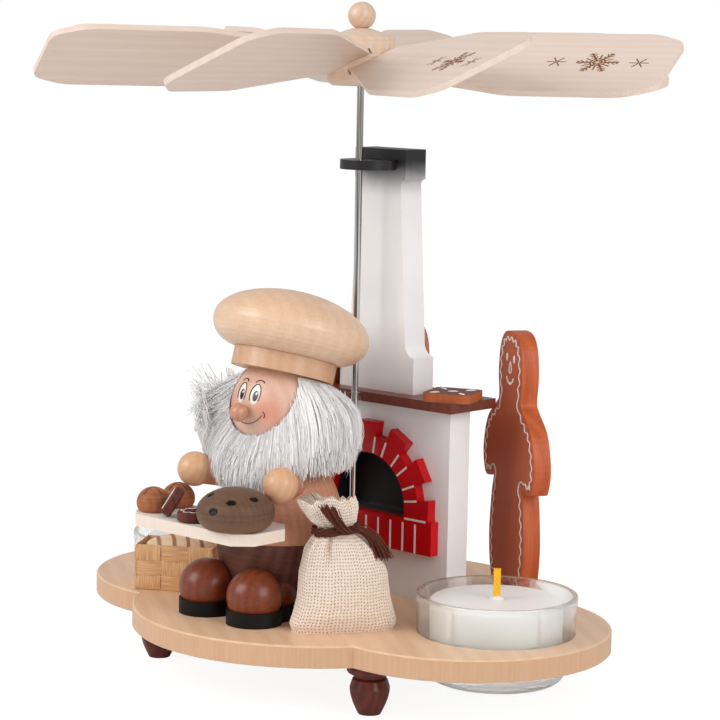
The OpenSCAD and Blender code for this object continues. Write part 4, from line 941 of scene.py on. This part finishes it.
laid_over(striped_roll, share.outputs[0], colour("#8a4f26"))
dress(striped_roll, "basket_rolls")

# Sack
# A small bag of coarse cream burlap, stuffed and tied off under its frilled mouth. The threads of
# the plain weave lie 1.4 mm apart, and the cloth pleats where the yarn draws it in. The gaps
# between the threads are painted darker as painted shade.
SACK_AT = Matrix.Translation((42.5, -50, DECK)) @ Matrix.Rotation(math.radians(58), 4, "Z")
SACK_H, TIE_Z, FRILL_Z, THREAD = 57.0, 43, 46, 1.4
COLUMNS, ROWS = 480, 205
# Height, half width, half depth and shift along the width.
SACK_LEVELS = [(0, 21.4, 7.4, 0), (3, 23, 8.8, 0), (7, 21.4, 10.2, 0), (14, 19.6, 10.5, 0), (25, 18.6, 10.2, -0.3),
               (35, 14.8, 8.9, -1.5), (40.9, 9.2, 6.6, -3), (41.3, 7.8, 6.1, -3.6), (44.7, 7.8, 6.1, -3.8),
               (45.1, 9.3, 6.6, -4.6), (52.3, 11.7, 6.7, -6.4), (SACK_H, 12.2, 5.8, -7.6)]
burlap, tree, place = new_finish("cream_burlap", 0.85, Sheen_Weight=0.2)
fuzz = add(tree, "ShaderNodeTexNoise", {"Vector": place, "Scale": 700.0, "Detail": 3.0})
slub = add(tree, "ShaderNodeMapRange", {"Value": fuzz.outputs["Fac"], "From Min": 0.3, "From Max": 0.75})
coloured(tree, slub.outputs[0], "#f2e6da", "#e4d2c1")
# Painted shade: the low places between the threads, found by the weave height, are coloured darker brown.
woven = add(tree, "ShaderNodeAttribute", attribute_name="weave")
gap_shade_mask = add(tree, "ShaderNodeMapRange", {"Value": woven.outputs["Fac"], "From Min": 0.3, "From Max": 0.8,
                                        "To Min": 1.0, "To Max": 0.0})
laid_over(burlap, gap_shade_mask.outputs[0], colour("#b5845a"))


def squared(wave, power):
    """A sine or cosine drawn out towards the corners of a rounded rectangle."""
    return np.sign(wave) * np.abs(wave) ** power


def hump(z, middle_z, spread):
    """A bell over a height, 1 in its middle."""
    return np.exp(-((z - middle_z) / spread) ** 2)


def thread(across, along, nearest, over):
    """Height of round threads, which rise and sink by turns as they pass the others."""
    return (np.sqrt(np.clip(1 - (2.7 * (across - nearest)) ** 2, 0, 1)) + over * np.cos(math.pi * (along - nearest)))


z = np.linspace(0, SACK_H, ROWS)
levels = np.array(SACK_LEVELS, float).T
half_w, half_d, shift = (np.convolve(np.pad(np.interp(z, levels[0], levels[k]), 4, mode="edge"), np.ones(9) / 9,
                                     "valid") for k in (1, 2, 3))
tie_pull = hump(z, TIE_Z, 2.2)
half_w, half_d = half_w - 0.4 * tie_pull, half_d - 0.3 * tie_pull
# The warp threads stand at an even spacing round the sack, so the columns of points do too.
fine = np.linspace(0, 2 * math.pi, 6001)
rim = np.stack([19.6 * squared(np.cos(fine), 0.7), 10.5 * squared(np.sin(fine), 0.8)], 1)
girth = np.concatenate([[0], np.cumsum(np.linalg.norm(np.diff(rim, axis=0), axis=1))])
angle = np.interp(np.arange(COLUMNS) / COLUMNS * girth[-1], girth, fine)[None, :]
z, half_w, half_d, shift = (v[:, None] for v in (z, half_w, half_d, shift))
c, s = np.cos(angle), np.sin(angle)
pleats = 0.5 * np.sin(13 * angle + 0.6) + 0.35 * np.sin(21 * angle + 2.0) + 0.3 * np.sin(7 * angle)
pull = hump(z, 38, 6.0) + 1.5 * np.clip((z - FRILL_Z) / 10, 0, 1)
slack = 0.6 * np.sin(3 * angle + 0.8) * np.sin(z / 8.0 + 0.5) * np.clip(z / 6, 0, 1)
fold = np.exp(-((np.mod(angle - 4.35 + math.pi, 2 * math.pi) - math.pi) / 0.12) ** 2)
crease = -3.2 * fold * hump(z, 35, 6.5)
u = np.arange(COLUMNS)[None, :] / COLUMNS * round(girth[-1] / THREAD) * np.ones((ROWS, 1))
v = z / THREAD * np.ones((1, COLUMNS))
u = u + 0.10 * np.sin(v * 0.31) + 0.07 * np.sin(v * 1.3)
v = v + 0.12 * np.sin(angle * 9) + 0.08 * np.sin(angle * 23)
weave = np.maximum(thread(u, v, np.round(u), 0.3), thread(v, u, np.round(v), -0.3))
push = 0.55 * pleats * pull + slack + crease + 0.34 * (weave - 1.2)
out_len = np.hypot(c / half_w, s / half_d)
ragged = 1.6 + 1.2 * np.sin(2 * angle + 0.6) + 0.7 * np.sin(5 * angle + 1.0) + 0.5 * np.sin(17 * angle)
points = np.stack([half_w * squared(c, 0.7) + shift + c / half_w / out_len * push,
                   half_d * squared(s, 0.8) + s / half_d / out_len * push,
                   z - np.clip(ragged, 0, 5) * np.clip((z - FRILL_Z) / (SACK_H - FRILL_Z), 0, 1)], -1)
points[0, :, 2] = 0.0
points = points.reshape(-1, 3).tolist() + [(0, 0, 0.1), (-6, 0, 49.0)]
faces = between_rings(ROWS, COLUMNS) + [f[::-1] for f in fan(len(points) - 2, 0, COLUMNS)]
faces += fan(len(points) - 1, (ROWS - 1) * COLUMNS, COLUMNS)
sack = piece("burlap_sack", placed(points, SACK_AT), faces, burlap, "base")
weave_values = weave.ravel().tolist() + [1.0, 0.3]
sack.data.attributes.new("weave", "FLOAT", "POINT").data.foreach_set("value", weave_values)
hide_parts("sack")

# Tie of the sack
# Soft brown yarn, wound round the neck and knotted in front, with two frayed ends.
# It is loosely spun, so its single fibres show and it has no shine.
TIE_W, TIE_D, TIE_SHIFT, YARN_D = 9.0, 7.3, -3.8, 0.45
TIE_ENDS = (((-1, -8.2, 43), (-6.5, -11.5, 46), (-11, -9.8, 53.5)),
            ((3, -7.8, 44.5), (10.5, -8.5, 43), (15.5, -6.5, 31)))
yarn, tree, place = new_finish("brown_yarn", 0.9, Specular_IOR_Level=0.15)
fuzz = add(tree, "ShaderNodeTexNoise", {"Vector": place, "Scale": 900.0, "Detail": 3.0})
coloured(tree, fuzz.outputs["Fac"], "#7b4639", "#4c2720")
paths = []
for _ in range(56):
    r, lift, phase = chance.uniform(0.2, 1.8), chance.uniform(-1.8, 1.8), chance.uniform(0, 6.28)
    loop = []
    for a in np.linspace(0, 2 * math.pi, 73):
        twist = a * 7 + phase
        swell = 0.6 * r * math.cos(twist)
        loop.append(((TIE_W + swell) * squared(math.cos(a), 0.75) + TIE_SHIFT,
                     (TIE_D + swell) * squared(math.sin(a), 0.85),
                     TIE_Z + 0.13 * math.cos(a) * TIE_W + lift * 0.7 + 0.6 * r * math.sin(twist)))
    paths.append(placed(loop, SACK_AT))
for knots in TIE_ENDS:
    root, bend, tip = (np.array(k) for k in knots)
    for _ in range(70):
        spread = chance.normal(0, 1.15, 3)
        line = []
        for t in np.linspace(0, 1, 9):
            fray = 0.75 + 0.8 * t ** 2
            line.append(bent(root, bend, tip, t) + spread * np.array([fray, fray * 0.6, 0.6]))
        paths.append(placed(line, SACK_AT))
tie = drawn("yarn_tie", paths, YARN_D, YARN_D, yarn, taper=0.3, sides=4)
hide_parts("sack_tie")

# Candle glasses
# Pressed clear glass cups that hang in the plate's holes, faintly green where the wall is thick.
# Pressing leaves slow waves in the wall, which bend what is seen through it.
glass, tree, place = new_finish("pressed_glass", 0.03, Transmission_Weight=1.0, IOR=1.5, Alpha=0.62,
                                Base_Color=colour("#f9fcfa"))
waves = add(tree, "ShaderNodeTexNoise", {"Vector": place, "Scale": 60.0, "Detail": 1.0})
bump = add(tree, "ShaderNodeBump", {"Strength": 0.15, "Distance": 0.3 * MM, "Height": waves.outputs["Fac"]})
tree.links.new(bump.outputs[0], tree.nodes["Principled BSDF"].inputs["Normal"])
dress(glass, "glass_left", "glass_right")

# Tea lights
# White candle wax that lets a little light in, with a flat yellow wick in a small collar of wax.
# Each is poured in one piece and stands loose in its glass.
CANDLE_X, CANDLE_Y, COLLAR = 88.0, -5.0, (3.6, 3.2, 1.5)
wax, tree, place = new_finish("white_candle_wax", 0.4, Subsurface_Weight=0.4, Subsurface_Scale=0.004,
                              Subsurface_Radius=(1, 1, 0.9))
clouds = add(tree, "ShaderNodeTexNoise", {"Vector": place, "Scale": 90.0, "Detail": 3.0}).outputs["Fac"]
coloured(tree, clouds, "#fbfaf8", "#f5f3f0", clouds, 0.25, 0.4)
dress(wax, "tealight_left", "tealight_right")
wick, tree, place = new_finish("waxed_yellow_wick", 0.45)
braid = add(tree, "ShaderNodeTexWave", {"Vector": place, "Scale": WAVE / (1.2 * MM), "Distortion": 1.0},
            bands_direction="DIAGONAL")
coloured(tree, braid.outputs["Fac"], "#f7bd12", "#eeae0a")
dress(wick, "wick_left", "wick_right")
for side, x in (("left", -CANDLE_X), ("right", CANDLE_X)):
    wax_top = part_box("tealight_" + side)[1].z / MM
    points, faces = blob((x, CANDLE_Y, wax_top - 0.05), COLLAR, across=24, up=6)
    piece("wick_collar_" + side, [Vector(p) * MM for p in points], faces, wax, "tea_light_" + side)

# Shaft
# Bright drawn steel rod with a ground point, pressed into the hub.
# Drawing leaves faint long streaks; the strong dark streaks in its colour are painted reflections of darker
# surroundings.
steel, tree, place = new_finish("drawn_steel", 0.18, Metallic=1.0)
long_way = add(tree, "ShaderNodeMapping", {"Vector": place, "Scale": (1000, 1000, 8)})
streak = add(tree, "ShaderNodeTexNoise", {"Vector": long_way.outputs[0], "Scale": 1.6, "Detail": 3.0})
share = add(tree, "ShaderNodeMapRange", {"Value": streak.outputs["Fac"], "From Min": 0.38, "From Max": 0.62})
# Painted reflection: the dark grey in these streaks stands in for the darker room that the rod mirrors.
coloured(tree, share.outputs[0], "#eceae8", "#6d6762")
dress(steel, "rotor_shaft")

# Hub and finial
# A turned maple hub with eight slanted slots, and an alder ball on a dowel, both clear varnished.
# Fine lathe rings show on the hub, and the ball is sanded smooth.
hub_maple = wood("turned_maple", "#e6d0bd", "#dabda4", ring=4.0, rings=0.3, roughness=0.42)
dress(turned_rings(hub_maple, 1.2, 0.04, "#c9a27f", 0.3), "rotor_hub")
finial_alder = wood("turned_alder_ball", "#e3c8b1", "#d4ae91", turn=(0.3, 0.2, 0), ring=2.5, rings=0.25, roughness=0.38,
                    Coat_Weight=0.2, Coat_Roughness=0.25)
dress(finial_alder, "finial")

# Blades
# Thin sawn maple, sanded, with the grain along each blade. Plain snow stars are burnt in brown on
# the upper side: a large one in the middle and a small one towards hub and tip.
BLADE_Z, BLADE_T, BLADE_PITCH, BLADE_RISE = DECK + 224 + 10.5, 2.4, math.radians(26), math.radians(0.5)
LARGE_AT, SMALL_AT, BURN_T = (108,), (90, 126), 0.05
blade_turns = [math.radians(18 + 45 * i) for i in range(8)]
for i, turn in enumerate(blade_turns):
    blade_maple = wood("sawn_maple_%d" % (i + 1), "#ead7ca", "#dfc8b7", turn=(0, 0, -turn), ring=5.0 + 1.5 * (i % 3),
                       rings=0.2, roughness=0.5, relief=0.05)
    dress(blade_maple, "blade_%d" % (i + 1))


def polar(r, a):
    """A point of a star by its distance from the middle and its angle."""
    return Vector((r * math.cos(a), r * math.sin(a), 0))


def bar(a, b, width):
    """A flat bar between two points of a star, as (points, faces)."""
    side = (b - a).normalized().cross(LEVEL) * (width / 2)
    points = [a - side, b - side, b + side, a + side]
    points += [p + LEVEL * BURN_T for p in points]
    return points, [(3, 2, 1, 0), (4, 5, 6, 7), (0, 1, 5, 4), (1, 2, 6, 5), (2, 3, 7, 6), (3, 0, 4, 7)]


def star(r, width, branches, hexagons=(), between=0.0):
    """A snow star: six arms with side branches, hexagons round the middle and short arms between."""
    parts = []
    for k in range(6):
        a = k * math.pi / 3
        parts.append(bar(polar(0.08 * r, a), polar(r, a), width))
        for share, length in branches:
            foot = polar(share * r, a)
            parts += [bar(foot, foot + polar(length * r, a + side * math.pi / 4.5), width * 0.8) for side in (-1, 1)]
        parts += [bar(polar(share * r, a), polar(share * r, a + math.pi / 3), width) for share in hexagons]
        if between:
            parts.append(bar(polar(0.3 * r, a + math.pi / 6), polar(between * r, a + math.pi / 6), width))
    return joined(parts)


scatter, given = new_tree("stars_on_blades", Places="Geometry", Star="Object", Size="Float", Finish="Material")
form = add(scatter, "GeometryNodeObjectInfo", {"Object": given.outputs["Star"]})
turn = add(scatter, "GeometryNodeInputNamedAttribute", {"Name": "turn"}, data_type="FLOAT_VECTOR")
way = add(scatter, "FunctionNodeEulerToRotation", {0: turn.outputs["Attribute"]})
stars = add(scatter, "GeometryNodeInstanceOnPoints", {"Points": given.outputs["Places"],
                                                      "Instance": form.outputs["Geometry"],
                                                      "Rotation": way.outputs[0], "Scale": given.outputs["Size"]})
end_tree(scatter, given, stars.outputs[0])
burnt_brown = paint("burnt_in_brown", "#7a4a2c", "#915f3c", 0.6, grit=0.8)
large = star(9.4, 0.7, ((0.42, 0.22), (0.62, 0.28), (0.82, 0.18)), (0.22, 0.38), 0.72)
small = star(4.3, 0.6, ())
for name, radii, (points, faces) in (("snow_stars_large", LARGE_AT, large), ("snow_stars_small", SMALL_AT, small)):
    places, turns = [], []
    for turn in blade_turns:
        way = (Matrix.Translation((0, 0, BLADE_Z)) @ Matrix.Rotation(turn, 4, "Z")
               @ Matrix.Rotation(-BLADE_RISE, 4, "Y") @ Matrix.Rotation(BLADE_PITCH, 4, "X"))
        places += placed([(r, 0, BLADE_T / 2) for r in radii], way)
        turns += [tuple(way.to_euler())] * len(radii)
    spots = bpy.data.meshes.new(name + "_places")
    spots.from_pydata([tuple(p) for p in places], [], [])
    spots.attributes.new("turn", "FLOAT_VECTOR", "POINT").data.foreach_set("vector", np.ravel(turns))
    form = bpy.data.meshes.new(name + "_form")
    form.from_pydata([tuple(p * MM) for p in points], [], faces)
    pattern = in_scene(name + "_form", form)
    mesh = made_by(scatter, spots, Star=pattern, Size=1.0, Finish=burnt_brown)
    bpy.data.objects.remove(pattern)
    riding(name, mesh, "rotor")

# Studio
# A plain pale floor, white for the camera but with the object's soft shadow,
# and two large soft lamps from the left and the right.
FLOOR_HALF, LAMP_SIZE, LAMP_AIM = 4, 0.8, (0, 0, 0.12)


def seen(tree):
    """1 for what the camera sees, also through glass, and 0 for the light on the object."""
    ray = add(tree, "ShaderNodeLightPath")
    return add(tree, "ShaderNodeMath", {0: ray.outputs["Is Camera Ray"], 1: ray.outputs["Is Transmission Ray"]},
               operation="MAXIMUM").outputs[0]


floor_mesh = bpy.data.meshes.new("studio_floor")
floor_mesh.from_pydata([(x * FLOOR_HALF, y * FLOOR_HALF, 0) for x, y in ((-1, -1), (1, -1), (1, 1), (-1, 1))], [],
                       [(0, 1, 2, 3)])
floor_finish, tree, _ = new_finish("pale_studio_floor", 0.9, Base_Color=(0.86, 0.86, 0.86, 1))
share = add(tree, "ShaderNodeMath", {0: seen(tree), 1: 0.8}, operation="MULTIPLY")
glow = add(tree, "ShaderNodeEmission", {"Color": (1, 1, 1, 1), "Strength": 1.13})
both = add(tree, "ShaderNodeMixShader", {0: share.outputs[0], 1: tree.nodes["Principled BSDF"].outputs[0],
                                         2: glow.outputs[0]})
tree.links.new(both.outputs[0], tree.nodes["Material Output"].inputs["Surface"])
floor_mesh.materials.append(floor_finish)
floor = in_scene("studio_floor", floor_mesh)

world = bpy.data.worlds.new("studio")
world.use_nodes = True
bpy.context.scene.world = world
sky = world.node_tree
level = add(sky, "ShaderNodeMapRange", {"Value": seen(sky), "To Min": 0.55, "To Max": 1.0})
sky.nodes["Background"].inputs["Color"].default_value = (1, 1, 1, 1)
sky.links.new(level.outputs[0], sky.nodes["Background"].inputs["Strength"])
for name, place, power in (("lamp_left", (-0.55, -1.15, 0.85), 10.5), ("lamp_right", (1.35, -0.15, 0.75), 8.5)):
    lamp = bpy.data.lights.new(name, "AREA")
    lamp.size, lamp.energy = LAMP_SIZE, power
    made = in_scene(name, lamp)
    made.location = place
    made.rotation_euler = (Vector(LAMP_AIM) - Vector(place)).to_track_quat("-Z", "Y").to_euler()

# Camera
# Where the photograph was taken from, with a long lens that looks a little down.
# Its place, direction and roll were fitted to the plate's outline, the shaft and the boards.
EYE, HEADING = (0.7423, -0.7914, 0.2799), Vector((-0.6828, 0.7306, 0))
LOOK_DOWN, ROLL = math.radians(7.6), math.radians(1.09)
view = bpy.data.cameras.new("photo_camera")
view.lens, view.sensor_width = 125.0, 36.0
camera = in_scene("photo_camera", view)
ahead = HEADING.normalized() * math.cos(LOOK_DOWN) - LEVEL * math.sin(LOOK_DOWN)
camera.matrix_world = (Matrix.Translation(EYE) @ ahead.to_track_quat("-Z", "Y").to_matrix().to_4x4()
                       @ Matrix.Rotation(ROLL, 4, "Z"))
bpy.context.scene.camera = camera
bpy.context.scene.view_settings.view_transform = "Standard"
